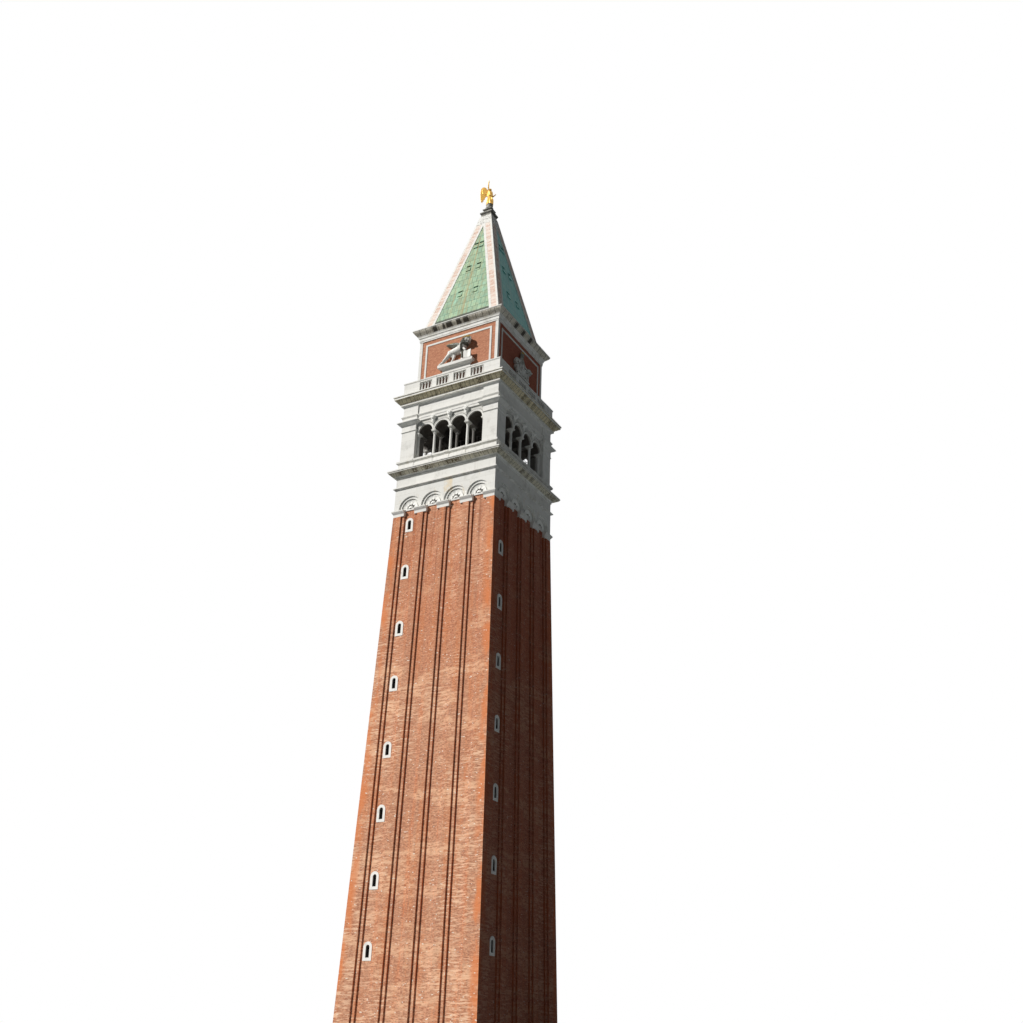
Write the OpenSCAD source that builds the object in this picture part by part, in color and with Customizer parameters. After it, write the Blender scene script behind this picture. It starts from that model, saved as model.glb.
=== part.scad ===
// Scale model, one to ten, of a tall square bell tower: a tapered brick shaft with pilaster strips,
// a stone belfry with arches on all four sides, a brick attic with reliefs, a copper-clad spire
// and a gilded winged figure that turns with the wind.
// Millimetres. The origin is the centre of the base on the ground, the front looks along -Y.

/* [Base] */
// Width across the lowest step
base_w = 1620; // [1560:10:1700]
// Height of one step
step_rise = 22; // [16:1:30]
// Tread of one step
step_tread = 34; // [24:1:44]
// Height of the stone course on the steps
plinth_h = 110; // [80:5:140]
// How far the stone course stands out from the brick
plinth_reach = 26; // [16:1:34]

/* [Brick shaft] */
// Width at the ground
shaft_base_w = 1402; // [1360:2:1440]
// Width under the blind arcade
shaft_top_w = 1180; // [1160:2:1200]
// Height of the top of the brick
shaft_top_z = 5185; // [5000:5:5400]
// Thickness of the walls
wall_t = 150; // [120:5:180]
// Pitch of the pilaster strips at the ground
bay_base = 288; // [284:1:292]
// Pitch of the pilaster strips at the top
bay_top = 267; // [263:1:270]
// Width of the recess between two strips, with its steps
recess_w = 198; // [180:2:206]
// Width of the inner panel of the recess
panel_w = 126; // [110:2:140]
// Depth of each of the two steps of the recess
recess_step = 15; // [10:1:20]
// Rise of the inner panels above the strips, between the imposts
panel_rise = 60; // [50:1:66]

/* [Shaft windows] */
// Sill heights of the windows in front and at the back
front_sills = [995, 1568, 2141, 2714, 3345, 3894, 4488, 5005];
// Sill heights of the windows on the right and the left
side_sills = [1037, 1676, 2286, 2897, 3484, 4070, 4635];
// Width of a window surround
surround_w = 88; // [76:1:100]
// Height of a window surround
surround_h = 152; // [140:1:170]
// Width of the opening
slit_w = 38; // [30:1:44]
// How far a surround stands out from the panel
surround_reach = 5; // [2:1:9]
// Depth of a surround in the wall
surround_depth = 40; // [30:1:60]

/* [Blind arcade] */
// Height of the blind arcade
arcade_h = 305; // [300:5:320]
// Width across the face of the stone
arcade_w = 1176; // [1160:2:1178]
// Height of an impost
impost_h = 65; // [58:1:72]
// How far an impost stands out
impost_reach = 20; // [14:1:26]
// Height of the lip under a niche
lip_h = 20; // [14:1:24]
// Radius of the outer ring of an arch
arch_outer_r = 130; // [122:1:132]
// Width of one ring of an arch
arch_ring = 26; // [20:1:30]
// Depth of each of the two steps of an arch
arch_step = 13; // [8:1:18]
// Radius of the rim of a shell niche
shell_r = 86; // [78:1:92]
// Depth of a shell niche behind its rim
shell_depth = 50; // [40:1:60]
// Ridges of a shell
shell_ridges = 6; // [4:1:8]

/* [String course and first cornice] */
// Height of the string course
string_h = 135; // [115:5:155]
// Height of the first cornice
cornice1_h = 75; // [65:1:85]
// Reach of the first cornice from the wall line
cornice1_reach = 76; // [60:1:86]

/* [Belfry] */
// Height of the belfry parapet, sill included
parapet_h = 126; // [110:2:140]
// Width across the parapet
parapet_w = 1164; // [1150:2:1180]
// Thickness of the belfry floor
floor_t = 45; // [30:5:60]
// Depth of the arcade from front to back
belfry_depth = 175; // [150:5:190]
// Width across the corner piers
pier_line_w = 1158; // [1150:2:1164]
// Width of one corner pier
pier_w = 170; // [160:2:180]
// Height of a pier without its capital
pier_h = 354; // [340:2:380]
// Height of a pier capital
pier_cap_h = 112; // [100:2:124]
// Setback of the arcade from the pier faces
arcade_setback = 26; // [16:1:34]
// Pitch of the belfry arches
arch_pitch = 200; // [194:1:202]
// Radius of the belfry arches
belfry_arch_r = 86; // [80:1:88]
// Width of the moulded ring round a belfry arch
archivolt_w = 22; // [18:1:24]
// How far the ring stands out
archivolt_reach = 7; // [4:1:10]
// Height of a column with base and capital
column_h = 324; // [310:2:340]
// Radius of a column
column_r = 15; // [12:1:17]
// Height of the block that carries the arches across a pair of columns
impost_block_h = 16; // [12:1:20]
// Height of the entablature up to the second cornice
entablature_h = 211; // [195:1:225]
// Height of the architrave in it
architrave_h = 77; // [68:1:86]
// Radius of a carved boss over a column
boss_r = 26; // [20:1:28]
// Setback of the entablature between the piers
entablature_setback = 13; // [8:1:18]

/* [Second cornice and terrace] */
// Height of the second cornice
cornice2_h = 97; // [85:1:110]
// Reach of the second cornice from the pier line
cornice2_reach = 88; // [76:1:98]
// Height of the balustrade
balustrade_h = 190; // [170:2:210]
// Width across the balustrade
balustrade_w = 1176; // [1160:2:1190]
// Width of a corner pedestal
corner_pedestal_w = 195; // [180:1:205]
// Width of a pedestal between two bays
pedestal_w = 56; // [46:1:66]
// Thickness of the balustrade
balustrade_t = 40; // [34:1:50]
// Balusters in one bay
bay_balusters = 4; // [3:1:5]
// Radius of a baluster
baluster_r = 10; // [8:1:12]
// How far the rail mouldings stand out
rail_reach = 6; // [3:1:8]

/* [Attic] */
// Width across the attic walls
attic_w = 980; // [960:2:990]
// Height of the attic walls
attic_h = 750; // [700:5:800]
// Thickness of the attic walls
attic_t = 90; // [70:2:110]
// Width of the stone strip at an attic corner
attic_corner = 30; // [22:1:38]
// Width of the stone frame on an attic wall
frame_band = 22; // [16:1:28]
// How far strips and frames stand out from the brick
trim_reach = 5; // [3:1:8]
// Distance of the frame from the attic corner
frame_inset = 75; // [62:1:86]
// Height of the foot of the frame above the terrace
frame_foot = 250; // [230:5:270]
// Distance of the top of the frame from the top of the wall
frame_drop = 50; // [40:1:60]
// Height of the ledge under a lion above the terrace
lion_ledge_z = 345; // [330:5:370]
// Height of the ledge under a seated figure above the terrace
seat_ledge_z = 295; // [280:5:310]
// Width of the block under a lion
lion_block_w = 320; // [300:5:350]
// Width of the block under a seated figure
seat_block_w = 150; // [130:5:180]
// How far the ledges stand out
ledge_reach = 55; // [46:1:64]
// Height of a lion, from its feet to its mane
lion_h = 292; // [275:1:305]
// Height of a seated figure, from its feet to its crown
seated_h = 325; // [300:1:345]

/* [Third cornice] */
// Height of the third cornice with its architrave
cornice3_h = 140; // [120:2:160]
// Reach of the third cornice from the attic wall
cornice3_reach = 75; // [60:1:85]

/* [Spire] */
// Half width of the spire at its foot
spire_foot = 480; // [460:2:500]
// Half width of the spire at its top
spire_top = 70; // [64:1:76]
// Height of the spire
spire_h = 1810; // [1750:10:1870]
// Thickness of the spire shell, measured level
spire_t = 36; // [26:1:46]
// Width of a stone rib on one side of a hip
rib_w = 112; // [100:1:120]
// How far a rib stands out from the sheeting
rib_reach = 6; // [4:1:9]
// Width of a vent in the sheeting
vent_w = 57; // [48:1:64]
// Height of a vent
vent_h = 92; // [80:1:104]

/* [Cap and winged figure] */
// Height of the moulded cap
cap_h = 140; // [120:2:150]
// Radius of the pivot pin
pin_r = 10; // [8:0.5:12]
// Radial running clearance at the pivot pin
pin_clearance = 0.05; // [0.02:0.01:0.09]
// Height of the pivot pin above the cap
pin_h = 60; // [50:1:80]
// Height of the figure from its foot to the raised hand
figure_h = 346; // [330:2:360]
// Reach of a wing from the upright axis of the figure
wing_reach = 112; // [100:1:122]
// Turn of the figure from the front at rest
figure_turn = 75; // [0:5:355]

/* [Hidden] */

// Sides of the tower, as turns about the upright axis
FRONT = 0;
RIGHT = 90;
BACK = 180;
LEFT = 270;
SIDES = [FRONT, RIGHT, BACK, LEFT];
BAYS = 4;
STRIPS = BAYS + 1;

// Joints between stones, and the lift of what turns above what carries it
stone_joint = 0.2;
seat_gap = 0.3;
overshoot = 20;
far = 1200;

// Levels, from the ground up
steps = 3;
steps_top = steps * step_rise;
plinth_top = steps_top + plinth_h;
panel_top = shaft_top_z + panel_rise;
impost_top = shaft_top_z + impost_h;
arch_z = panel_top + lip_h;
arcade_top = shaft_top_z + arcade_h;
string_top = arcade_top + string_h;
cornice1_top = string_top + cornice1_h;
parapet_top = cornice1_top + parapet_h;
spring_z = parapet_top + column_h;
pier_top = parapet_top + pier_h + pier_cap_h;
entablature_top = pier_top + entablature_h;
terrace_z = entablature_top + cornice2_h;
attic_top = terrace_z + attic_h;
cornice3_top = attic_top + cornice3_h;
spire_top_z = cornice3_top + spire_h;
cap_top = spire_top_z + cap_h;

// Half widths
base_hw = base_w / 2;
shaft_base_hw = shaft_base_w / 2;
shaft_top_hw = shaft_top_w / 2;
shaft_taper = (shaft_base_hw - shaft_top_hw) / shaft_top_z;
core_hw = shaft_top_hw - wall_t;
arcade_hw = arcade_w / 2;
parapet_hw = parapet_w / 2;
pier_hw = pier_line_w / 2;
arch_face = pier_hw - arcade_setback;
belfry_inner = arch_face - belfry_depth;
balustrade_hw = balustrade_w / 2;
attic_hw = attic_w / 2;
attic_inner = attic_hw - attic_t;

function shaft_hw(z) = shaft_base_hw - shaft_taper * z;
function bay_pitch(z) = bay_base + (bay_top - bay_base) * z / shaft_top_z;
function bay_x(i, z) = (i - (BAYS - 1) / 2) * bay_pitch(z);
function strip_x(i, z) = (i - (STRIPS - 1) / 2) * bay_pitch(z);
function spire_hw(z) = spire_foot + (spire_top - spire_foot) * (z - cornice3_top) / spire_h;

module brick() color([0.72, 0.42, 0.30]) children();
module stone() color([0.88, 0.87, 0.82]) children();
module copper() color([0.62, 0.72, 0.62]) children();
module gold() color([0.85, 0.66, 0.25]) children();
module steel() color([0.45, 0.46, 0.48]) children();

// Turns a profile, drawn as distance from the axis and height, into a run along the front
module front_run(length) {
    rotate([90, 0, -90])
        linear_extrude(length, center = true)
            children();
}

// Wedge of the plan that belongs to the front, cut back at its mitres by half a joint
module front_wedge(gap) {
    linear_extrude(cap_top)
        polygon([[0, -gap], [-far, -far - gap], [far, -far - gap]]);
}

// One mitred side of a square ring
module mitred_side(gap = 0) {
    intersection() {
        front_run(2 * far) children();
        front_wedge(gap);
    }
}

// A square ring of four mitred runs with fine joints at the corners
module square_ring() {
    for (side = SIDES)
        rotate(side)
            mitred_side(stone_joint) children();
}

// Rectangle of a profile between two distances and two heights
module band(inner, outer, low, high) {
    translate([inner, low])
        square([outer - inner, high - low]);
}

// Extrudes a drawing of the elevation, from the upright axis out past the front
module elevation() {
    rotate([90, 0, 0])
        linear_extrude(far)
            children();
}

// A block on the front: its profile, drawn from the face line, returns on both ends
module moulded_block(face, w) {
    intersection() {
        front_run(2 * far)
            translate([face, 0])
                children();
        elevation()
            for (hand = [0, 1])
                mirror([hand, 0])
                    translate([w / 2, 0])
                        children();
    }
}

// Both ends of one mitred side, from a distance along it outwards
module side_ends(gap, start) {
    intersection() {
        mitred_side(gap) children();
        elevation()
            for (hand = [0, 1])
                mirror([hand, 0])
                    translate([start, 0])
                        square([far, cap_top]);
    }
}

// Tapering round limb between two points, with rounded ends
module limb(from, to, r1, r2) {
    run = to - from;
    length = norm(run);
    translate(from) {
        sphere(r = r1);
        rotate([0, acos(run[2] / length), atan2(run[1], run[0])])
            cylinder(r1 = r1 * 0.98, r2 = r2 * 0.98, h = length);
    }
    translate(to)
        sphere(r = r2);
}

// Quarter-round hollow moulding that reaches out by reach over its height
module cove(inner, face, low, high, reach) {
    rise = high - low;
    n = 6;
    polygon(concat([[inner, low], [face, low]],
        [for (i = [1 : n]) [face + reach * (1 - cos(90 * i / n)), low + rise * sin(90 * i / n)]],
        [[inner, high]]));
}

// Wave moulding: hollow below, round above
module cyma(inner, face, low, high, reach) {
    rise = high - low;
    n = 8;
    polygon(concat([[inner, low]],
        [for (i = [0 : n]) [face + reach * (0.5 - 0.5 * cos(180 * i / n)), low + rise * i / n]],
        [[inner, high]]));
}

// Base

module base_steps() {
    stone()
        square_ring()
            for (i = [0 : steps - 1])
                band(shaft_base_hw - wall_t, base_hw - i * step_tread, i * step_rise, (i + 1) * step_rise);
}

module base_plinth() {
    face = shaft_base_hw + plinth_reach;
    stone()
        square_ring()
            polygon([[shaft_base_hw - wall_t, steps_top], [face, steps_top],
                [face, plinth_top - plinth_reach / 2], [shaft_hw(plinth_top), plinth_top],
                [shaft_base_hw - wall_t, plinth_top]]);
}

// Brick shaft

// Upright slice of the wall between two depths behind its tapered face
module face_slice(from_depth, to_depth, low, high) {
    polygon([[shaft_hw(low) - from_depth, low], [shaft_hw(high) - from_depth, high],
        [shaft_hw(high) - to_depth, high], [shaft_hw(low) - to_depth, low]]);
}

// Tapering strip of the elevation, centred on one bay
module bay_strip(bay, w) {
    rotate([90, 0, 0])
        linear_extrude(far)
            polygon([[bay_x(bay, 0) - w / 2, 0], [bay_x(bay, 0) + w / 2, 0],
                [bay_x(bay, shaft_top_z) + w / 2, shaft_top_z + overshoot],
                [bay_x(bay, shaft_top_z) - w / 2, shaft_top_z + overshoot]]);
}

module recess(bay, w, depth) {
    intersection() {
        front_run(2 * far) face_slice(-overshoot, depth, plinth_top + step_rise, shaft_top_z + overshoot);
        bay_strip(bay, w);
    }
}

// Outline of a round-headed window, sill at zero
module arched_outline(w, h) {
    translate([-w / 2, 0])
        square([w, h - w / 2]);
    translate([0, h - w / 2])
        circle(d = w);
}

slit_h = surround_h - (surround_w - slit_w);
function window_face(sill) = shaft_hw(sill + surround_h / 2) - 2 * recess_step;

// Places a drawing of the elevation at a window, extruded from one distance to another
module at_window(sill, from_r, to_r) {
    translate([bay_x(0, sill), -from_r, sill])
        rotate([90, 0, 0])
            linear_extrude(to_r - from_r)
                children();
}

module window_opening(sill) {
    at_window(sill, window_face(sill) - wall_t - overshoot, window_face(sill) + overshoot)
        translate([0, (surround_w - slit_w) / 2])
            arched_outline(slit_w, slit_h);
}

module window_pocket(sill) {
    at_window(sill, window_face(sill) - surround_depth, window_face(sill) + overshoot)
        offset_arch(stone_joint);
}

// Surround outline, wider by a joint all round
module offset_arch(joint) {
    translate([0, -joint])
        arched_outline(surround_w + 2 * joint, surround_h + 2 * joint);
}

// The inner panels rise between the imposts, up to the lips of the niches
module panel_tongues() {
    intersection() {
        for (bay = [0 : BAYS - 1])
            translate([bay_x(bay, shaft_top_z), 0, 0])
                front_run(panel_w - 2 * stone_joint)
                    band(core_hw, shaft_top_hw - 2 * recess_step, shaft_top_z, panel_top);
        front_wedge(0);
    }
}

module shaft_wall(sills) {
    brick() {
        difference() {
            mitred_side()
                face_slice(0, wall_t, plinth_top, shaft_top_z);
            for (bay = [0 : BAYS - 1]) {
                recess(bay, recess_w, recess_step);
                recess(bay, panel_w, 2 * recess_step);
            }
            for (sill = sills) {
                window_opening(sill);
                window_pocket(sill);
            }
        }
        panel_tongues();
    }
}

module front_wall() rotate(FRONT) shaft_wall(front_sills);
module right_wall() rotate(RIGHT) shaft_wall(side_sills);
module back_wall() rotate(BACK) shaft_wall(front_sills);
module left_wall() rotate(LEFT) shaft_wall(side_sills);

module window_surround(sill) {
    difference() {
        at_window(sill, window_face(sill) - surround_depth + stone_joint, window_face(sill) + surround_reach)
            arched_outline(surround_w, surround_h);
        window_opening(sill);
    }
}

module window_surrounds() {
    stone()
        for (side = SIDES)
            rotate(side)
                for (sill = side % BACK == 0 ? front_sills : side_sills)
                    window_surround(sill);
}

// Blind arcade

impost_w = bay_top - panel_w;
shell_sphere_r = (shell_r * shell_r + shell_depth * shell_depth) / (2 * shell_depth);

// Profile of an impost, from the face line of the stone
module impost_profile() {
    seat = (impost_w + wall_t) / 4;
    block = shaft_top_z + impost_h * 0.36;
    lip = shaft_top_z + impost_h * 0.8;
    band(-seat, recess_step / 8, shaft_top_z, block);
    cyma(-seat, recess_step / 8, block, lip, impost_reach - 5);
    band(-seat, impost_reach, lip, impost_top);
}

module imposts() {
    for (i = [1 : STRIPS - 2])
        translate([strip_x(i, shaft_top_z), 0, 0])
            moulded_block(arcade_hw, impost_w)
                impost_profile();
    intersection() {
        mitred_side()
            translate([arcade_hw, 0])
                impost_profile();
        elevation()
            for (hand = [0, 1])
                mirror([hand, 0])
                    translate([strip_x(STRIPS - 1, shaft_top_z) - impost_w / 2, 0]) {
                        mirror([1, 0])
                            impost_profile();
                        translate([0, shaft_top_z])
                            square([far, impost_h]);
                    }
    }
}

// Cuts a drawing of the elevation into the stone face
module face_cut(depth) {
    translate([0, -arcade_hw + depth, 0])
        elevation()
            children();
}

// Half round on upright sides, its centre at the springing
module stilted_arch(r, stilt) {
    intersection() {
        union() {
            translate([0, arch_z])
                circle(r = r);
            translate([-r, arch_z - r])
                square([2 * r, r]);
        }
        translate([-r, arch_z - stilt])
            square([2 * r, r + stilt]);
    }
}

// Quarter of a hollow ball with ridges that fan out from its lower edge
module shell_niche() {
    ridge_w = 5;
    ridge_reach = 6;
    hinge = shell_r / 4;
    translate([0, -arcade_hw + 2 * arch_step - shell_sphere_r + shell_depth, arch_z])
        difference() {
            intersection() {
                sphere(r = shell_sphere_r);
                translate([-far, -far, 0])
                    cube([2 * far, 2 * far, far]);
            }
            difference() {
                for (i = [1 : shell_ridges])
                    rotate([0, -180 * i / (shell_ridges + 1), 0])
                        translate([hinge, 0, -ridge_w / 2])
                            cube([shell_sphere_r, shell_sphere_r, ridge_w]);
                sphere(r = shell_sphere_r - ridge_reach);
            }
        }
}

module arch_recess() {
    face_cut(arch_step)
        stilted_arch(arch_outer_r, arch_z - impost_top);
    face_cut(2 * arch_step)
        stilted_arch(arch_outer_r - arch_ring, 0);
    shell_niche();
    face_cut(arch_step * 1.5)
        translate([-panel_w / 2, shaft_top_z - overshoot])
            square([panel_w, arch_z - shaft_top_z + overshoot]);
    translate([-panel_w / 2, -far, shaft_top_z - overshoot])
        cube([panel_w, far, panel_rise + overshoot]);
}

module blind_arcade() {
    stone()
        difference() {
            union() {
                mitred_side()
                    band(core_hw, arcade_hw, shaft_top_z, arcade_top);
                imposts();
            }
            for (bay = [0 : BAYS - 1])
                translate([bay_x(bay, shaft_top_z), 0, 0])
                    arch_recess();
        }
}

module front_blind_arcade() rotate(FRONT) blind_arcade();
module right_blind_arcade() rotate(RIGHT) blind_arcade();
module back_blind_arcade() rotate(BACK) blind_arcade();
module left_blind_arcade() rotate(LEFT) blind_arcade();

module string_course() {
    moulding = string_h * 0.16;
    reach = 22;
    stone()
        square_ring() {
            cyma(core_hw, arcade_hw, arcade_top, arcade_top + moulding * 0.6, reach - 4);
            band(core_hw, arcade_hw + reach, arcade_top + moulding * 0.6, arcade_top + moulding);
            band(core_hw, arcade_hw - 1, arcade_top + moulding, string_top);
        }
}

module first_cornice() {
    lip = cornice1_h * 0.16;
    bead = cornice1_h * 0.14;
    stone()
        square_ring() {
            band(core_hw, arcade_hw + 7, string_top, string_top + bead);
            cyma(core_hw, arcade_hw + 7, string_top + bead, cornice1_top - 2 * lip, cornice1_reach - 22);
            band(core_hw, arcade_hw + cornice1_reach - 7, cornice1_top - 2 * lip, cornice1_top - lip);
            band(core_hw, arcade_hw + cornice1_reach, cornice1_top - lip, cornice1_top);
        }
}

// Belfry

floor_hw = core_hw + wall_t / 2;

module belfry_floor() {
    stone()
        translate([-floor_hw, -floor_hw, cornice1_top])
            cube([2 * floor_hw, 2 * floor_hw, floor_t]);
}

// Profile of the parapet, moved out by a little under what it carries
module parapet_profile(out) {
    sill = parapet_h * 0.16;
    sill_reach = 18;
    band(belfry_inner, parapet_hw + out, cornice1_top + floor_t, parapet_top - 2 * sill);
    cyma(belfry_inner, parapet_hw + out, parapet_top - 2 * sill, parapet_top - sill, sill_reach - 3);
    band(belfry_inner, parapet_hw + out + sill_reach, parapet_top - sill, parapet_top);
}

module belfry_parapet() {
    pedestal_out = 4;
    stone() {
        square_ring() {
            band(floor_hw, parapet_hw, cornice1_top, cornice1_top + floor_t);
            parapet_profile(0);
        }
        for (side = SIDES)
            rotate(side) {
                for (x = COLUMN_LINES)
                    translate([x, 0, 0])
                        front_run(2 * column_r + 24)
                            parapet_profile(pedestal_out);
                side_ends(stone_joint, pier_inner - 8)
                    parapet_profile(pedestal_out);
            }
    }
}

// Heights of the pier mouldings, each with how far it stands out
pier_shaft_top = parapet_top + pier_h;
pier_levels = concat(
    [[parapet_top, 0], [pier_shaft_top - 6, 0], [pier_shaft_top, 9], [pier_shaft_top + 6, 9],
        [pier_shaft_top + 8, 3], [pier_top - 42, 3]],
    [for (i = [1 : 6]) [pier_top - 42 + 34 * i / 6, 3 + 39 * (0.5 - 0.5 * cos(30 * i))]],
    [[pier_top - 8, 46], [pier_top, 46]]);

// One corner pier with its capital, at the front right, its mouldings returned to the arcade face
module corner_pier() {
    last = len(pier_levels) - 1;
    returns_end = arch_face + archivolt_reach + stone_joint;
    difference() {
        intersection_for (turn = [FRONT, RIGHT])
            rotate(turn)
                front_run(2 * far)
                    polygon(concat(
                        [for (i = [0 : last]) [pier_hw + pier_levels[i][1], pier_levels[i][0]]],
                        [for (i = [last : -1 : 0]) [pier_inner - pier_levels[i][1], pier_levels[i][0]]]));
        translate([pier_inner - far, -returns_end, 0])
            cube([far, far, cap_top]);
        translate([returns_end - far, -pier_inner, 0])
            cube([far, far, cap_top]);
    }
}

module corner_piers() {
    stone()
        for (side = SIDES)
            rotate(side)
                corner_pier();
}

// Distances along a side of the free columns, and all the arch centres
pier_inner = pier_hw - pier_w;
COLUMN_LINES = [for (i = [1 : BAYS - 1]) (i - BAYS / 2) * arch_pitch];
ARCH_CENTRES = [for (i = [0 : BAYS - 1]) (i - (BAYS - 1) / 2) * arch_pitch];
arch_wall_h = pier_top - spring_z;

// Upper half of a disc over each bay, from the upright axis out to a distance
module arch_discs(r, reach) {
    intersection() {
        for (x = ARCH_CENTRES)
            translate([x, 0, spring_z])
                rotate([90, 0, 0])
                    cylinder(r = r, h = reach);
        translate([-far, -far, spring_z])
            cube([2 * far, 2 * far, arch_wall_h]);
    }
}

module belfry_arches() {
    outer_r = belfry_arch_r + archivolt_w;
    stone()
        difference() {
            union() {
                intersection() {
                    translate([-pier_inner, -arch_face, spring_z])
                        cube([2 * pier_inner, belfry_depth, arch_wall_h]);
                    front_wedge(0);
                }
                difference() {
                    union() {
                        arch_discs(outer_r - 7, arch_face + archivolt_reach * 0.5);
                        difference() {
                            arch_discs(outer_r, arch_face + archivolt_reach);
                            arch_discs(outer_r - 7, far);
                        }
                    }
                    translate([-far, -arch_face, 0])
                        cube([2 * far, far, cap_top]);
                }
            }
            for (x = ARCH_CENTRES)
                translate([x, 0, spring_z])
                    rotate([90, 0, 0])
                        cylinder(r = belfry_arch_r, h = far);
        }
}

module front_arches() rotate(FRONT) belfry_arches();
module right_arches() rotate(RIGHT) belfry_arches();
module back_arches() rotate(BACK) belfry_arches();
module left_arches() rotate(LEFT) belfry_arches();

// A column with base and capital, up to the block over it
module column() {
    base_h = 14;
    bell_h = 24;
    bell_z = column_h - impost_block_h - bell_h;
    rotate_extrude()
        polygon([[0, 0], [column_r + 6, 0], [column_r + 6, base_h * 0.7], [column_r + 2, base_h * 0.8],
            [column_r + 3, base_h], [column_r, base_h + 2], [column_r * 0.88, bell_z - 4],
            [column_r + 2, bell_z - 4], [column_r + 2, bell_z], [column_r * 0.9, bell_z],
            [column_r + 2, bell_z + bell_h * 0.6], [column_r + 8, bell_z + bell_h - 4],
            [column_r + 8, bell_z + bell_h], [0, bell_z + bell_h]]);
    translate([-column_r - 8, -column_r - 8, 0])
        cube([2 * column_r + 16, 2 * column_r + 16, base_h * 0.4]);
}

// The block across a pair of columns, between two distances from the axis
module impost_block(inner, outer) {
    w = 2 * column_r + 22;
    step = impost_block_h * 0.4;
    translate([-w / 2 + 3, -outer + 3, column_h - impost_block_h])
        cube([w - 6, outer - inner - 3, step]);
    translate([-w / 2, -outer, column_h - impost_block_h + step])
        cube([w, outer - inner, impost_block_h - step]);
}

module belfry_columns() {
    from_face = 30;
    stone()
        for (side = SIDES)
            rotate(side)
                translate([0, 0, parapet_top]) {
                    for (x = COLUMN_LINES)
                        translate([x, 0, 0]) {
                            for (depth = [from_face, belfry_depth - from_face])
                                translate([0, -arch_face + depth, 0])
                                    column();
                            impost_block(belfry_inner, arch_face + 4);
                        }
                    for (hand = [0, 1])
                        mirror([hand, 0, 0])
                            difference() {
                                translate([BAYS / 2 * arch_pitch, 0, 0]) {
                                    translate([0, -arch_face + from_face, 0])
                                        column();
                                    impost_block(pier_inner, arch_face + 4);
                                }
                                translate([pier_inner, -far, -far])
                                    cube([far, 2 * far, 2 * far]);
                            }
                }
}

// Profile of the entablature, moved back by setback
module entablature_profile(setback) {
    face = pier_hw + 5 - setback;
    fascia = architrave_h * 0.34;
    moulding = architrave_h * 0.36;
    frieze_z = pier_top + architrave_h;
    bed = entablature_h * 0.16;
    band(belfry_inner, face - 4, pier_top, pier_top + fascia);
    band(belfry_inner, face, pier_top + fascia, frieze_z);
    cyma(belfry_inner, face, frieze_z - moulding, frieze_z - 8, 10);
    band(belfry_inner, face + 12, frieze_z - 8, frieze_z);
    band(belfry_inner, face - 6, frieze_z, entablature_top - bed);
    cove(belfry_inner, face - 6, entablature_top - bed, entablature_top, 24);
}

// Carved boss over a column: a ring of petals round a head, in front of the arcade
module boss() {
    back = arch_face + archivolt_reach + stone_joint;
    petals_front = pier_hw - entablature_setback + 14;
    petals = 10;
    translate([0, 0, pier_top - boss_r * 0.2]) {
        translate([0, -back, 0])
            rotate([90, 0, 0])
                cylinder(r = boss_r * 0.82, h = petals_front - back);
        for (i = [0 : petals - 1])
            rotate([0, 360 * i / petals, 0])
                translate([boss_r * 0.78, -back, 0])
                    rotate([90, 0, 0])
                        cylinder(r = boss_r * 0.22, h = petals_front - back - 2);
        translate([0, -petals_front, 0])
            sphere(r = boss_r * 0.6);
    }
}

module entablature() {
    stone()
        for (side = SIDES)
            rotate(side) {
                mitred_side(stone_joint)
                    entablature_profile(entablature_setback);
                side_ends(stone_joint, pier_inner - 10)
                    entablature_profile(0);
                for (x = COLUMN_LINES)
                    translate([x, 0, 0])
                        boss();
            }
}

// Second cornice and terrace

slab_hw = attic_hw + 20;

module second_cornice() {
    lip = cornice2_h * 0.12;
    bed = cornice2_h * 0.16;
    stone()
        square_ring() {
            band(slab_hw, pier_hw + 26, entablature_top, entablature_top + bed);
            cyma(slab_hw, pier_hw + 26, entablature_top + bed, terrace_z - 3 * lip, cornice2_reach - 46);
            band(slab_hw, pier_hw + cornice2_reach - 8, terrace_z - 3 * lip, terrace_z - lip);
            band(slab_hw, pier_hw + cornice2_reach, terrace_z - lip, terrace_z);
        }
}

module terrace_slab() {
    stone()
        translate([-slab_hw, -slab_hw, entablature_top])
            cube([2 * slab_hw, 2 * slab_hw, cornice2_h]);
}

rail_h = balustrade_h * 0.16;
plinth_rail_h = balustrade_h * 0.14;
bay_run = 2 * (balustrade_hw - corner_pedestal_w);
rail_bay = (bay_run - 3 * pedestal_w) / BAYS;

function rail_x(i) = -bay_run / 2 + rail_bay / 2 + i * (rail_bay + pedestal_w);

// Profile of the balustrade from its foot to its rail, moved out by a little at a pedestal
module upper_rail_profile(out) {
    inner = balustrade_hw - balustrade_t;
    rail_z = terrace_z + balustrade_h - rail_h;
    band(inner, balustrade_hw + out, rail_z, rail_z + rail_h * 0.3);
    cyma(inner, balustrade_hw + out, rail_z + rail_h * 0.3, rail_z + rail_h * 0.65, rail_reach - 1);
    band(inner, balustrade_hw + out + rail_reach, rail_z + rail_h * 0.65, terrace_z + balustrade_h);
}

module pedestal_profile() {
    out = 2;
    band(balustrade_hw - balustrade_t, balustrade_hw + out, terrace_z, terrace_z + balustrade_h - rail_h);
    band(balustrade_hw - balustrade_t, balustrade_hw + 2 * out, terrace_z, terrace_z + plinth_rail_h);
    upper_rail_profile(out);
}

module balustrade_pedestals() {
    stone()
        for (side = SIDES)
            rotate(side) {
                side_ends(0, balustrade_hw - corner_pedestal_w)
                    pedestal_profile();
                for (i = [0 : BAYS - 2])
                    translate([rail_x(i) + (rail_bay + pedestal_w) / 2, 0, 0])
                        front_run(pedestal_w)
                            pedestal_profile();
            }
}

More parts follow.
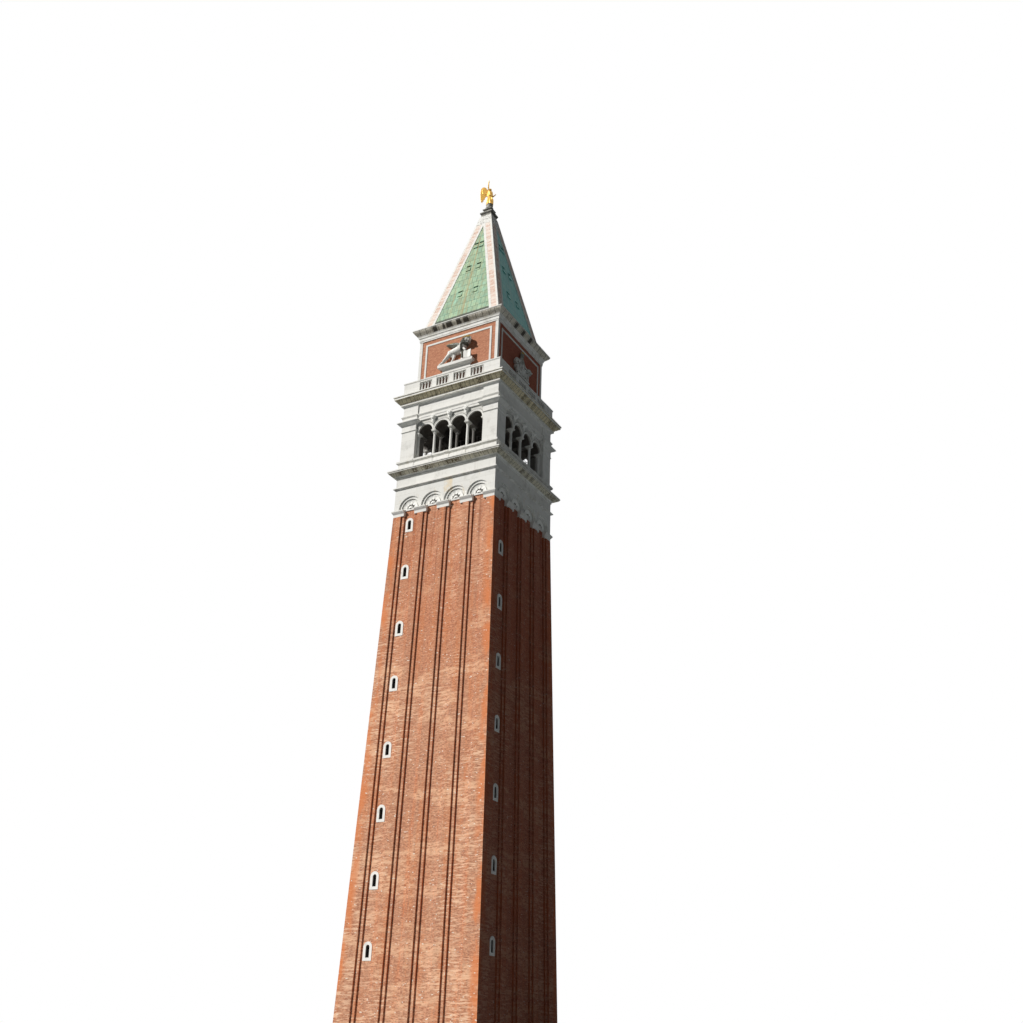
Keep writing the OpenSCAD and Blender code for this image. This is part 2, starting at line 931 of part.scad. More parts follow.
module balustrade_rails() {
    stone()
        for (side = SIDES)
            rotate(side)
                for (i = [0 : BAYS - 1])
                    translate([rail_x(i), 0, 0])
                        front_run(rail_bay) {
                            band(balustrade_hw - balustrade_t, balustrade_hw, terrace_z, terrace_z + plinth_rail_h);
                            upper_rail_profile(0);
                        }
}

baluster_h = balustrade_h - rail_h - plinth_rail_h;
baluster_pitch = rail_bay / bay_balusters;

module baluster() {
    rotate_extrude()
        polygon([[0, 0], [baluster_r, 0], [baluster_r, baluster_h * 0.08],
            [baluster_r * 0.6, baluster_h * 0.14], [baluster_r, baluster_h * 0.36],
            [baluster_r * 0.55, baluster_h * 0.8], [baluster_r, baluster_h * 0.9],
            [baluster_r, baluster_h], [0, baluster_h]]);
}

module balusters() {
    stone()
        for (side = SIDES)
            rotate(side)
                for (i = [0 : BAYS - 1], j = [0 : bay_balusters - 1])
                    translate([rail_x(i) + (j - (bay_balusters - 1) / 2) * baluster_pitch,
                        -balustrade_hw + balustrade_t / 2, terrace_z + plinth_rail_h])
                        baluster();
}

// Attic

module attic_wall() {
    brick()
        mitred_side()
            band(attic_inner, attic_hw, terrace_z, attic_top);
}

module front_attic_wall() rotate(FRONT) attic_wall();
module right_attic_wall() rotate(RIGHT) attic_wall();
module back_attic_wall() rotate(BACK) attic_wall();
module left_attic_wall() rotate(LEFT) attic_wall();

module attic_trim() {
    outer = attic_hw - frame_inset;
    low = terrace_z + frame_foot;
    high = attic_top - frame_drop;
    stone()
        for (side = SIDES)
            rotate(side) {
                side_ends(stone_joint, attic_hw - attic_corner)
                    band(attic_hw, attic_hw + trim_reach, terrace_z, attic_top);
                difference() {
                    translate([0, -attic_hw, 0])
                        rotate([90, 0, 0])
                            linear_extrude(trim_reach)
                                difference() {
                                    translate([-outer, low])
                                        square([2 * outer, high - low]);
                                    translate([-outer + frame_band, low + frame_band])
                                        square([2 * (outer - frame_band), high - low - 2 * frame_band]);
                                }
                    side_ledge(side);
                }
            }
}

// Heights of a ledge's slab, hollow moulding and block, under a lion and under a seated figure
LION_LEDGE = [34, 24, 66];
SEAT_LEDGE = [18, 16, 4];

// A ledge: a block on the wall, a hollow moulding and a slab, with its top at a height
module ledge(top, block_w, heights) {
    slab_t = heights[0];
    cove_h = heights[1];
    block_h = heights[2];
    block_reach = 14;
    soffit = terrace_z + top - slab_t;
    moulded_block(attic_hw, block_w)
        intersection() {
            union() {
                band(-far, block_reach, soffit - cove_h - block_h, soffit - cove_h);
                cove(-far, block_reach, soffit - cove_h, soffit, ledge_reach - block_reach - 6);
                band(-far, ledge_reach, soffit, soffit + slab_t);
            }
            band(-block_w, far, 0, cap_top);
        }
}

// Ledge of one side: under a lion in front and back, under a seated figure at the sides
module side_ledge(side) {
    if (side % BACK == 0)
        ledge(lion_ledge_z, lion_block_w, LION_LEDGE);
    else
        ledge(seat_ledge_z, seat_block_w, SEAT_LEDGE);
}

module relief_ledges() {
    stone()
        for (side = SIDES)
            rotate(side)
                difference() {
                    side_ledge(side);
                    behind_attic_face();
                }
}

// Everything behind the attic wall's face
module behind_attic_face() {
    translate([-far, -attic_hw, 0])
        cube([2 * far, far, cap_top]);
}

// Stands a relief on its ledge, with its back cut flat at the wall and its soles at the slab
module on_ledge(top) {
    difference() {
        translate([0, -attic_hw, terrace_z + top])
            children();
        behind_attic_face();
        translate([-far, -far, terrace_z + top - overshoot])
            cube([2 * far, 2 * far, overshoot]);
    }
}

// Facets round the small round forms of the carved figures
FIGURE_FACETS = 20;

// Walking winged lion with a paw on an open book, drawn at a height and scaled to its own
lion_drawn_h = 285;

module lion() {
    $fn = FIGURE_FACETS;
    chest = [44, -24, 142];
    rump = [-58, -20, 130];
    scale(lion_h / lion_drawn_h) {
        limb(rump, chest, 37, 47);
        limb(chest, [94, -28, 204], 44, 47);
        translate([118, -32, 230])
            sphere(r = 48);
        translate([140, -56, 222])
            sphere(r = 28);
        limb([150, -58, 210], [172, -60, 203], 16, 12);
        limb([-72, -24, 128], [-112, -34, 82], 32, 16);
        limb([-112, -34, 82], [-168, -34, 16], 16, 11);
        limb([-168, -34, 9], [-190, -36, 7], 12, 10);
        limb([-40, -20, 126], [-22, -22, 78], 26, 13);
        limb([-22, -22, 78], [-58, -24, 14], 13, 9);
        limb([-58, -24, 8], [-42, -28, 6], 11, 9);
        limb([62, -26, 136], [76, -32, 74], 24, 13);
        limb([76, -32, 74], [74, -32, 7], 13, 11);
        limb([66, -24, 150], [112, -42, 112], 22, 12);
        limb([-86, -16, 150], [-122, -16, 128], 9, 7);
        limb([-122, -16, 128], [-132, -16, 84], 7, 6);
        lion_wing();
        open_book();
    }
}

// Wing swept back over the lion, in two layers of feathers
module lion_wing() {
    bury = 6;
    rotate([90, 0, 0])
        translate([0, 0, -bury]) {
            linear_extrude(34 + bury)
                polygon([[66, 150], [60, 200], [14, 238], [-56, 256], [-128, 254], [-132, 240],
                    [-98, 232], [-104, 220], [-66, 214], [-72, 202], [-30, 192], [10, 140]]);
            linear_extrude(48 + bury)
                polygon([[62, 156], [54, 198], [12, 230], [-42, 240], [-52, 226], [-16, 206],
                    [14, 150]]);
        }
}

// Open book, its two halves turned a little to each other
module open_book() {
    for (hand = [0, 1])
        translate([150, -44, 0])
            mirror([hand, 0, 0])
                rotate(-12)
                    translate([0, -6, 0])
                        cube([46, 12, 94]);
}

module lion_reliefs() {
    stone()
        for (side = [FRONT, BACK])
            rotate(side)
                on_ledge(lion_ledge_z)
                    lion();
}

// Crowned figure on a seat between two resting lions, drawn at a height and scaled to its own
seated_drawn_h = 325;

module seated_figure() {
    $fn = FIGURE_FACETS;
    scale(seated_h / seated_drawn_h) {
        translate([-48, -30, 0])
            cube([96, 30, 168]);
        limb([-22, -38, 16], [-24, -44, 92], 22, 20);
        limb([22, -38, 16], [24, -44, 92], 22, 20);
        limb([-24, -44, 92], [0, -22, 112], 20, 28);
        limb([24, -44, 92], [0, -22, 112], 20, 28);
        limb([0, -22, 112], [0, -20, 216], 32, 28);
        limb([0, -20, 216], [0, -24, 268], 20, 14);
        translate([0, -26, 280])
            sphere(r = 22);
        translate([0, -26, 292])
            rotate_extrude()
                polygon([[0, 0], [20, 0], [26, 33], [16, 26], [0, 26]]);
        limb([-26, -24, 212], [-62, -36, 170], 15, 12);
        limb([-62, -36, 170], [-66, -48, 214], 12, 9);
        limb([26, -24, 212], [56, -34, 160], 15, 12);
        limb([56, -34, 160], [84, -42, 150], 12, 9);
        translate([-68, -52, 168])
            cylinder(r = 4, h = 132);
        for (hand = [0, 1])
            mirror([hand, 0, 0]) {
                limb([62, -20, 40], [112, -22, 84], 34, 32);
                translate([128, -34, 142])
                    sphere(r = 36);
                limb([134, -50, 136], [142, -62, 130], 18, 14);
                limb([112, -30, 80], [118, -38, 9], 18, 13);
            }
    }
}

module seated_figures() {
    stone()
        for (side = [RIGHT, LEFT])
            rotate(side)
                on_ledge(seat_ledge_z)
                    seated_figure();
}

module third_cornice() {
    architrave = cornice3_h * 0.32;
    lip = cornice3_h * 0.07;
    bed = attic_top + architrave + lip;
    stone()
        for (side = SIDES)
            rotate(side)
                mitred_side(stone_joint) {
                    band(attic_inner, attic_hw + 9, attic_top, attic_top + architrave);
                    band(attic_inner, attic_hw + 13, attic_top + architrave * 0.35, attic_top + architrave);
                    cyma(attic_inner, attic_hw + 13, attic_top + architrave, bed, 9);
                    cyma(attic_inner, attic_hw + 20, bed, cornice3_top - lip, cornice3_reach - 24);
                    band(attic_inner, attic_hw + cornice3_reach, cornice3_top - lip, cornice3_top);
                }
}

// Spire

// Slice of a slope between two distances out from its sheeting, at two heights
module slope_slice(low, high, in_low, in_high, out_low, out_high) {
    polygon([[spire_hw(low) + in_low, low], [spire_hw(low) + out_low, low],
        [spire_hw(high) + out_high, high], [spire_hw(high) + in_high, high]]);
}

// Drawing on the elevation of a strip beside each hip, between two distances from it
module hip_strips(from, to, low, high) {
    for (hand = [0, 1])
        mirror([hand, 0])
            polygon([[spire_hw(low) - to, low], [spire_hw(low) - from, low],
                [spire_hw(high) - from, high], [spire_hw(high) - to, high]]);
}

// Vents in pairs, higher pairs closer together: a small cap over a flap that leans out
VENT_PAIRS = [[445, 100], [857, 66], [1240, 35]];

// and an air slot through the sheeting between them
hood_h = vent_h * 0.13;
slot_h = vent_h * 0.17;

module vent(x, z) {
    translate([x, 0, 0]) {
        front_run(vent_w)
            slope_slice(z, z + vent_h - hood_h - slot_h, -spire_t / 4, -spire_t / 4, 10, 2);
        front_run(vent_w)
            slope_slice(z + vent_h - hood_h, z + vent_h, -spire_t / 4, -spire_t / 4, 9, 3);
    }
}

module vent_slot(x, z) {
    translate([x, 0, 0])
        front_run(vent_w - 8)
            slope_slice(z + vent_h - hood_h - slot_h, z + vent_h - hood_h, -spire_t - overshoot,
                -spire_t - overshoot, overshoot, overshoot);
}

module spire_slope() {
    copper() {
        difference() {
            mitred_side()
                slope_slice(cornice3_top, spire_top_z, -spire_t, -spire_t, 0, 0);
            for (pair = VENT_PAIRS, hand = [-1, 1])
                vent_slot(hand * pair[1], cornice3_top + pair[0]);
        }
        for (pair = VENT_PAIRS, hand = [-1, 1])
            vent(hand * pair[1], cornice3_top + pair[0]);
    }
}

module front_spire_slope() rotate(FRONT) spire_slope();
module right_spire_slope() rotate(RIGHT) spire_slope();
module back_spire_slope() rotate(BACK) spire_slope();
module left_spire_slope() rotate(LEFT) spire_slope();

// Stone bands on both sides of each hip, with a shallow channel for their inlay
module spire_ribs() {
    joined_z = cornice3_top + spire_h * (spire_foot - rib_w) / (spire_foot - spire_top);
    inlay_from = rib_w * 0.18;
    inlay_to = rib_w * 0.73;
    inlay_top = spire_top_z - 150;
    inlay_depth = 1.5;
    stone()
        for (side = SIDES)
            rotate(side)
                difference() {
                    mitred_side(stone_joint)
                        slope_slice(cornice3_top, spire_top_z, 0, 0, rib_reach, rib_reach);
                    elevation()
                        polygon([[-spire_hw(cornice3_top - overshoot) + rib_w, cornice3_top - overshoot],
                            [spire_hw(cornice3_top - overshoot) - rib_w, cornice3_top - overshoot],
                            [0, joined_z]]);
                    intersection() {
                        elevation()
                            hip_strips(inlay_from, inlay_to, cornice3_top + 12, inlay_top);
                        front_run(2 * far)
                            slope_slice(cornice3_top, spire_top_z, rib_reach - inlay_depth,
                                rib_reach - inlay_depth, rib_reach + overshoot, rib_reach + overshoot);
                    }
                }
}

// Cap and winged figure

// Heights on the cap as shares of it, each with a half width as a share of its widest
cap_hw = spire_top + 10;
CAP_LEVELS = concat(
    [[0, 0.84], [0.18, 0.84]],
    [for (i = [0 : 5]) [0.2 + 0.16 * i / 5, 0.86 + 0.1 * (0.5 - 0.5 * cos(36 * i))]],
    [[0.36, 1], [0.46, 1], [0.56, 0.66], [0.58, 0.58], [0.7, 0.58]],
    [for (i = [0 : 5]) [0.72 + 0.12 * i / 5, 0.6 + 0.1 * (0.5 - 0.5 * cos(36 * i))]],
    [[0.84, 0.73], [0.91, 0.73], [1, 0.56]]);

module spire_cap() {
    last = len(CAP_LEVELS) - 1;
    stone()
        intersection_for (turn = [FRONT, RIGHT])
            rotate([90, 0, turn])
                linear_extrude(2 * far, center = true)
                    translate([0, spire_top_z])
                        polygon(concat(
                            [for (i = [0 : last]) [cap_hw * CAP_LEVELS[i][1], cap_h * CAP_LEVELS[i][0]]],
                            [for (i = [last : -1 : 0]) [-cap_hw * CAP_LEVELS[i][1], cap_h * CAP_LEVELS[i][0]]]));
}

collar_h = 6;
drum_roof = 14;
collar_r = pin_r + 8;

module pivot_pin() {
    steel()
        translate([0, 0, cap_top]) {
            cylinder(r = collar_r, h = collar_h);
            cylinder(r = pin_r, h = pin_h);
        }
}

drum_z = cap_top + collar_h + seat_gap;
drum_h = pin_h - collar_h + drum_roof;
bore_depth = pin_h - collar_h + seat_gap;

module turning_drum() {
    gold()
        translate([0, 0, drum_z])
            difference() {
                rotate_extrude()
                    polygon([[0, 0], [48, 0], [48, drum_h * 0.2], [40, drum_h * 0.35], [40, drum_h], [0, drum_h]]);
                translate([0, 0, -overshoot])
                    cylinder(r = pin_r + pin_clearance, h = overshoot + bore_depth);
            }
}

figure_z = drum_z + drum_h;

// Robed figure with one arm raised, drawn at a height and scaled to its own
figure_drawn_h = 346;
wing_drawn_reach = 112;

module robed_body() {
    scale(figure_h / figure_drawn_h) {
        rotate_extrude()
            polygon([[0, 0], [42, 0], [44, 5], [40, 40], [34, 85], [27, 118], [32, 130], [34, 165],
                [31, 195], [25, 208], [12, 218], [8, 224], [8, 232], [0, 232]]);
        translate([0, -2, 242])
            sphere(r = 15);
        limb([-20, 0, 200], [-43, -10, 256], 10, 7.5);
        limb([-43, -10, 256], [-46, -16, 320], 7.5, 5.5);
        limb([-46, -16, 320], [-43, -18, 341], 5.5, 4.9);
        limb([22, -2, 197], [40, -14, 152], 10, 7.5);
        limb([40, -14, 152], [50, -38, 174], 7.5, 6);
    }
}

// One wing, from the shoulder blade out, in two layers of feathers
module wing() {
    outline = [[8, 214], [38, 262], [62, 284], [86, 280], [105, 254], [112, 200], [110, 120],
        [100, 54], [86, 36], [78, 62], [72, 58], [66, 92], [58, 90], [48, 128], [28, 148], [8, 158]];
    covert = [[10, 208], [40, 254], [62, 272], [82, 264], [92, 226], [86, 176], [64, 158],
        [44, 166], [26, 164], [10, 170]];
    k = wing_reach / wing_drawn_reach;
    h = figure_h / figure_drawn_h;
    rotate([90, 0, 0]) {
        linear_extrude(8, center = true)
            polygon([for (p = outline) [p[0] * k, p[1] * h]]);
        linear_extrude(15, center = true)
            polygon([for (p = covert) [p[0] * k, p[1] * h]]);
    }
}

module winged_figure() {
    sweep = 45;
    gold()
        translate([0, 0, figure_z])
            rotate(figure_turn) {
                robed_body();
                translate([0, 8, 0])
                    for (hand = [0, 1])
                        mirror([hand, 0, 0])
                            rotate(sweep)
                                wing();
            }
}

base_steps();
base_plinth();
front_wall();
right_wall();
back_wall();
left_wall();
window_surrounds();
front_blind_arcade();
right_blind_arcade();
back_blind_arcade();
left_blind_arcade();
string_course();
first_cornice();
belfry_floor();
belfry_parapet();
corner_piers();
front_arches();
right_arches();
back_arches();
left_arches();
belfry_columns();
entablature();
second_cornice();
terrace_slab();
balustrade_pedestals();
balustrade_rails();
balusters();
front_attic_wall();
right_attic_wall();
back_attic_wall();
left_attic_wall();
attic_trim();
relief_ledges();
lion_reliefs();
seated_figures();
third_cornice();
front_spire_slope();
right_spire_slope();
back_spire_slope();
left_spire_slope();
spire_ribs();
spire_cap();
pivot_pin();
turning_drum();
winged_figure();
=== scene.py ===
import math

import bmesh
import bpy
from mathutils import Matrix, Vector, noise


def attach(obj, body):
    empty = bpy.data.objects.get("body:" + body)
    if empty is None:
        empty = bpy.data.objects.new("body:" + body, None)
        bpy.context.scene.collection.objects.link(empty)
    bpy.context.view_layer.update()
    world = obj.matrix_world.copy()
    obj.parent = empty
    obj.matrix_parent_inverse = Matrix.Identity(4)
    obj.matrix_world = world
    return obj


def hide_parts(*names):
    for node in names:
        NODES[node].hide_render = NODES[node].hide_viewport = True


bl_info = {
    "name": "Bell Tower Finish",
    "version": (1, 1, 0),
    "blender": (4, 5, 0),
    "location": "3D View > Sidebar > Bell Tower",
    "description": "Finishes, carving and metalwork of a bell tower scale model",
    "category": "Object",
}

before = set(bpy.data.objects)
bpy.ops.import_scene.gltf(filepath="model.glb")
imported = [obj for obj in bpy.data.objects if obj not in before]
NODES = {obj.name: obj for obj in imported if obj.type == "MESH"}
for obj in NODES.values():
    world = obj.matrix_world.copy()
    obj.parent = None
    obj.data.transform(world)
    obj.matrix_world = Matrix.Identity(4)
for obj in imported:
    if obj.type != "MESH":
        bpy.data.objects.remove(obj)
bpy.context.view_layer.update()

# Colours as linear values: the brick
BRICK_DARK = (0.43, 0.160, 0.088)
BRICK_LIGHT = (0.78, 0.375, 0.215)
BRICK_PEACH = (0.93, 0.62, 0.42)
MORTAR = (0.55, 0.36, 0.25)
BRICK_HIGH = (0.54, 0.180, 0.085)
BRICK_FIRED = (0.70, 0.240, 0.095)
BRICK_BED = (0.95, 0.60, 0.38)
BRICK_CORNER = (0.76, 0.240, 0.085)
BRICK_LIMED = (0.90, 0.80, 0.68)
# Painted shade of the right side and the back
BRICK_SIDE_SHADE = (0.135, 0.004, 0.008)
# Painted shade in the window reveals
BRICK_REVEAL_SHADE = (0.012, 0.009, 0.008)
ATTIC_EVEN = (0.48, 0.200, 0.120)
ATTIC_WASHED = (0.74, 0.40, 0.25)
# Painted shade at the attic's foot
ATTIC_FOOT_SHADE = (0.030, 0.024, 0.020)
# Painted shade on the attic's inner faces
ATTIC_INSIDE_SHADE = (0.03, 0.02, 0.018)
INLAY_PINK = (0.73, 0.50, 0.40)
INLAY_PALE = (0.90, 0.78, 0.70)
INLAY_BLEACHED = (0.88, 0.79, 0.72)
INLAY_RED = (0.50, 0.28, 0.20)

# Colours of the stone, its stains and the shade painted on it
STONE_PALE = (0.83, 0.825, 0.79)
STONE_GREY = (0.36, 0.35, 0.31)
STONE_OLIVE = (0.22, 0.195, 0.125)
STONE_OCHRE = (0.62, 0.47, 0.25)
STONE_RUST = (0.78, 0.62, 0.38)
STONE_INDOOR_SHADE = (0.035, 0.026, 0.020)
WINDOW_SLIT_SHADE = (0.02, 0.016, 0.013)
SHELL_RING_SHADE = (0.04, 0.036, 0.028)
ARCH_RING_SHADOW = (0.13, 0.125, 0.11)
BOSS_EYE_SHADE = (0.09, 0.085, 0.07)
BOSS_HOLLOW_SHADE = (0.16, 0.15, 0.13)
CORNICE_SPOTS = (0.13, 0.10, 0.05)
CORNICE_CRUST = (0.085, 0.062, 0.035)
CORNICE_JOINT = (0.075, 0.058, 0.038)
SOOT_BROWN = (0.10, 0.068, 0.032)
SOOT_BLACK = (0.030, 0.024, 0.018)
CAP_DARK = (0.26, 0.26, 0.235)
CAP_UNDER_SHADE = (0.032, 0.028, 0.024)
RIB_DIRT = (0.62, 0.56, 0.50)
RIB_MORTAR = (0.88, 0.82, 0.75)
RIB_NECK_SHADE = (0.12, 0.105, 0.09)

# Colours of the carved stone
WING_DARK = (0.07, 0.08, 0.06)
WING_LIGHT = (0.30, 0.31, 0.27)
# Mottle of the dark mane, also used for the painted shadow down the foreleg
MANE_AND_SHADOW_DARK = (0.028, 0.028, 0.020)
MANE_AND_SHADOW_LIGHT = (0.16, 0.16, 0.12)
LION_GILT = (0.42, 0.26, 0.06)
# Painted shade on the lion's downward faces
LION_UNDER_SHADE = (0.12, 0.11, 0.08)
FIGURE_RUNS = (0.085, 0.085, 0.062)
FIGURE_TOP = (0.115, 0.125, 0.095)
# Painted shade on the seated figures' downward faces
FIGURE_UNDER_SHADE = (0.09, 0.085, 0.06)
FIGURE_GILT = (0.50, 0.34, 0.10)

# Colours of the copper and the other metal
COPPER_PALE = (0.35, 0.475, 0.30)
COPPER_MINT = (0.27, 0.52, 0.38)
COPPER_OCHRE = (0.38, 0.285, 0.125)
COPPER_FOOT = (0.40, 0.70, 0.53)
COPPER_FRESH = (0.36, 0.66, 0.50)
# Painted shade of the spire's right side and back
COPPER_SIDE_SHADE = (0.015, 0.32, 0.37)
# Painted shadow along the foot of the sheeting
COPPER_FOOT_SHADOW = (0.03, 0.028, 0.02)
# Painted shade in the vents
COPPER_VENT_SHADE = (0.085, 0.115, 0.085)
GOLD = (0.80, 0.47, 0.10)
# Painted shade on the gilding's downward faces
GOLD_UNDER_SHADE = (0.10, 0.055, 0.012)
STEEL = (0.30, 0.31, 0.32)
STEEL_BLOOM = (0.16, 0.11, 0.08)
BAR_RUST = (0.075, 0.038, 0.022)

# The light, the floor and the camera that was fitted to the photo
SKY = (0.86, 0.94, 1.0)
SUN = (1.0, 0.975, 0.94)
SUN_FROM = (-0.527, -0.628, 0.574)
SUN_SPREAD = math.radians(4.0)
FLOOR_SIZE = 240.0
FLOOR_SHADE = (0.22, 0.24, 0.255)
CAMERA_PLACE = (5.560, -8.922, 0.160)
CAMERA_LENS = 39.79
CAMERA_YAW = math.radians(29.81)
CAMERA_PITCH = math.radians(26.58)
CAMERA_ROLL = math.radians(1.96)

# Roughness that the plain stone shares, and how each cornice is made
STONE_ROUGHNESS = 0.72
CORNICES = {
    "first_cornice": dict(
        tan=(0.80, 0.76, 0.61), edge=0.664, wide=0.056, block=0.052, soot=SOOT_BROWN, soft=0.020,
        stains=((-0.54, -0.49), (-0.37, -0.31), (-0.23, -0.17), (0.03, 0.20)),
    ),
    "second_cornice": dict(
        tan=(0.82, 0.73, 0.51), edge=0.667, wide=0.064, block=0.052, soot=SOOT_BROWN, soft=0.020,
        stains=((0.13, 0.17), (0.35, 0.41), (0.47, 0.50)),
    ),
    "third_cornice": dict(
        tan=(0.80, 0.76, 0.65), edge=0.565, wide=0.043, block=0.079, soot=SOOT_BLACK, soft=0.0,
        stains=((-0.308, -0.255), (-0.185, -0.155), (-0.140, -0.060), (-0.010, 0.050), (0.080, 0.147)),
    ),
}

# Levels, half widths and sizes of the construction and of the pieces laid over it, in metres
SHAFT_FOOT = 0.701
SHAFT_TAPER = 0.111 / 5.185
PANEL_DEPTH = 0.030
SILL_TOP = 5.826
BAR_PITCH = 0.050
BAR_BITE = 0.005
BARS_FROM = SILL_TOP - 0.004
BARS_TO = 6.024
CROSS_BARS = (SILL_TOP + 0.060, SILL_TOP + 0.125, 6.020)
TIE_HEIGHT = 6.085
TIE_BEHIND = 0.020
CAPITAL_FOOT = 6.104
LEAF_WIDTH = 0.0058
LEAF_HEIGHT = 0.0285
LEAF_FOOT = 0.0156
LEAF_CURL = 0.0115
LEAF_CUP = 0.0016
LEAF_THICKNESS = 0.0011
COLUMN_ROWS = (-0.523, -0.408)
COLUMN_PLACES = (-0.4, -0.2, 0.0, 0.2, 0.4)
ARCH_PITCH = 0.200
ARCH_SPRING = 6.150
BOSS_CENTRE = 6.2868
BOSS_FRONT = 0.586
BOSS_BACK = 0.554
ARCADE_FACE = 0.588
ARCADE_PITCH = 0.2670
ARCADE_SPRING = 5.265
SHELL_RIM = 0.0865
SHELL_DEPTH = 0.006
SHELL_HUB = 0.004
SHELL_THICKNESS = 0.0015
SHELL_FLUTES = 9
FLUTE_DEPTH = 0.0030
HUB_RISE = 0.007
HUB_REACH = 0.022
NICHE_DEPTH = 0.018
TERRACE = 6.600
SPIRE_FOOT_Z = 7.490
SPIRE_HEIGHT = 1.810
SPIRE_FOOT = 0.480
SPIRE_LEAN = 0.410 / SPIRE_HEIGHT
RIB_WIDTH = 0.112
RIB_STAND = 0.006
INLAY_NEAR = 0.0202
INLAY_FAR = 0.0818
INLAY_FOOT = 7.502
INLAY_TOP = 9.149
INLAY_JOINT = 0.0028
INLAY_PLAY = 0.0016
INLAY_BACK = 0.0018
INLAY_FRONT = 0.0002
INLAY_EDGE = 0.0008
INLAY_WEAR = 0.0005
CLOSE = 0.0001
VENTS = ((0.445, 0.100), (0.857, 0.066), (1.240, 0.035))
VENT_WIDTH = 0.057
VENT_HEIGHT = 0.092
VENT_MARGIN = 0.0015
SEAM_RISE = 0.0009
SHEET_STAND = 0.0006
SHEET_THICKNESS = 0.0005
SMALLEST_SHEET = 0.0009
SLIVER = 0.00001
ATTIC_FACE = 0.490
LION_FOOT = 6.945
LION_SCALE = 0.292 / 285
NIMBUS_ASIDE = 0.124
NIMBUS_OUT = 0.030
NIMBUS_RISE = 0.241
NIMBUS_RADIUS = 0.050
SEAT_FOOT = 6.895
SEAT_SCALE = 0.001
CROWN_HEIGHT = 7.213
CROWN_RIM = SEAT_FOOT + 0.302
FIGURE_DARK = (7.02, 7.16)
FIGURE_FOOT = 9.5143
FIGURE_TURN = math.radians(75.0)
FIGURE_VOXEL = 0.0017
QUARTER = math.pi / 2


def colour_property(name, description, default):
    return bpy.props.FloatVectorProperty(
        name=name, description=description, default=default, size=3, min=0.0, max=1.0, subtype="COLOR"
    )


def length_property(name, description, default):
    return bpy.props.FloatProperty(
        name=name, description=description, default=default, min=0.0, unit="LENGTH", subtype="DISTANCE"
    )


class BrickSettings(bpy.types.PropertyGroup):
    """Sizes and colours of the brickwork"""

    dark: colour_property("Dark brick", "Colour of the darkest bricks", BRICK_DARK)
    light: colour_property("Light brick", "Colour of the lightest bricks", BRICK_LIGHT)
    peach: colour_property("Weathered brick", "Colour of the washed streaks", BRICK_PEACH)
    mortar: colour_property("Mortar", "Colour of the joints", MORTAR)
    length: length_property("Brick length", "Length of one brick with its joint", 0.026)
    course: length_property("Course", "Height of one course with its joint", 0.0078)
    joint: length_property("Joint", "Width of a joint", 0.0010)
    inlay: length_property("Inlay course", "Height of one inlaid course on the spire ribs", 0.0248)


class StoneSettings(bpy.types.PropertyGroup):
    """Sizes and colours of the stonework"""

    pale: colour_property("Clean stone", "Colour of the washed stone", STONE_PALE)
    grey: colour_property("Grey stain", "Colour of the dirt on upright faces", STONE_GREY)
    # The olive also carries painted shade on faces that look down
    olive: colour_property("Olive stain", "Colour of the growth under the cornices", STONE_OLIVE)
    block: length_property("Block length", "Length of one stone block", 0.236)
    course: length_property("Block height", "Height of one course of blocks", 0.092)
    voxel: length_property("Carving fineness", "Smallest detail of the carved figures", 0.0024)


class CopperSettings(bpy.types.PropertyGroup):
    """Sizes and colours of the sheeting"""

    pale: colour_property("Pale patina", "Main colour of the sheets", COPPER_PALE)
    mint: colour_property("Mint patina", "Colour of the fresher sheets", COPPER_MINT)
    ochre: colour_property("Rust wash", "Colour of the wash below the vents", COPPER_OCHRE)
    sheet: length_property("Sheet width", "Width of one sheet", 0.060)
    lap: length_property("Sheet height", "Upright height of one sheet between laps", 0.1024)
    seam: length_property("Seam", "Half the width of a folded seam", 0.0016)


class MetalSettings(bpy.types.PropertyGroup):
    """Colours of the gilding and the steel"""

    gold: colour_property("Gilding", "Colour of the gilded figure", GOLD)
    steel: colour_property("Steel", "Colour of the pin and the bars", STEEL)
    bar: length_property("Bar", "Radius of a bar in the belfry openings", 0.0012)


class StageSettings(bpy.types.PropertyGroup):
    """Camera, light and floor"""

    key: bpy.props.FloatProperty(
        name="Key light", description="Strength of the main light", default=4.25, min=0.0
    )
    fill: bpy.props.FloatProperty(
        name="Fill light", description="Strength of the light from all round", default=0.045, min=0.0
    )
    floor: colour_property("Floor", "Colour of the floor", (0.86, 0.86, 0.85))


class Tree:
    """A node tree, with short ways to add to it"""

    def __init__(self, tree):
        self.tree = tree
        tree.nodes.clear()

    def join(self, a, b):
        self.tree.links.new(a, b)

    def feed(self, socket, value):
        """Joins a socket to another, or sets it"""
        if isinstance(value, bpy.types.NodeSocket):
            self.join(value, socket)
        elif socket.type == "RGBA":
            socket.default_value = tuple(value)[:3] + (1.0,)
        else:
            socket.default_value = value

    def node(self, kind, inputs, **settings):
        made = self.tree.nodes.new(kind)
        for key, value in settings.items():
            setattr(made, key, value)
        for key, value in inputs.items():
            self.feed(made.inputs[key], value)
        return made

    def math(self, operation, a, b=0.0, clamp=False):
        return self.node("ShaderNodeMath", {0: a, 1: b}, operation=operation, use_clamp=clamp).outputs[0]

    def seen(self):
        """1 for what the camera sees, itself or in a shiny face"""
        path = self.node("ShaderNodeLightPath", {}).outputs
        return self.math("MAXIMUM", path["Is Camera Ray"], path["Is Glossy Ray"])


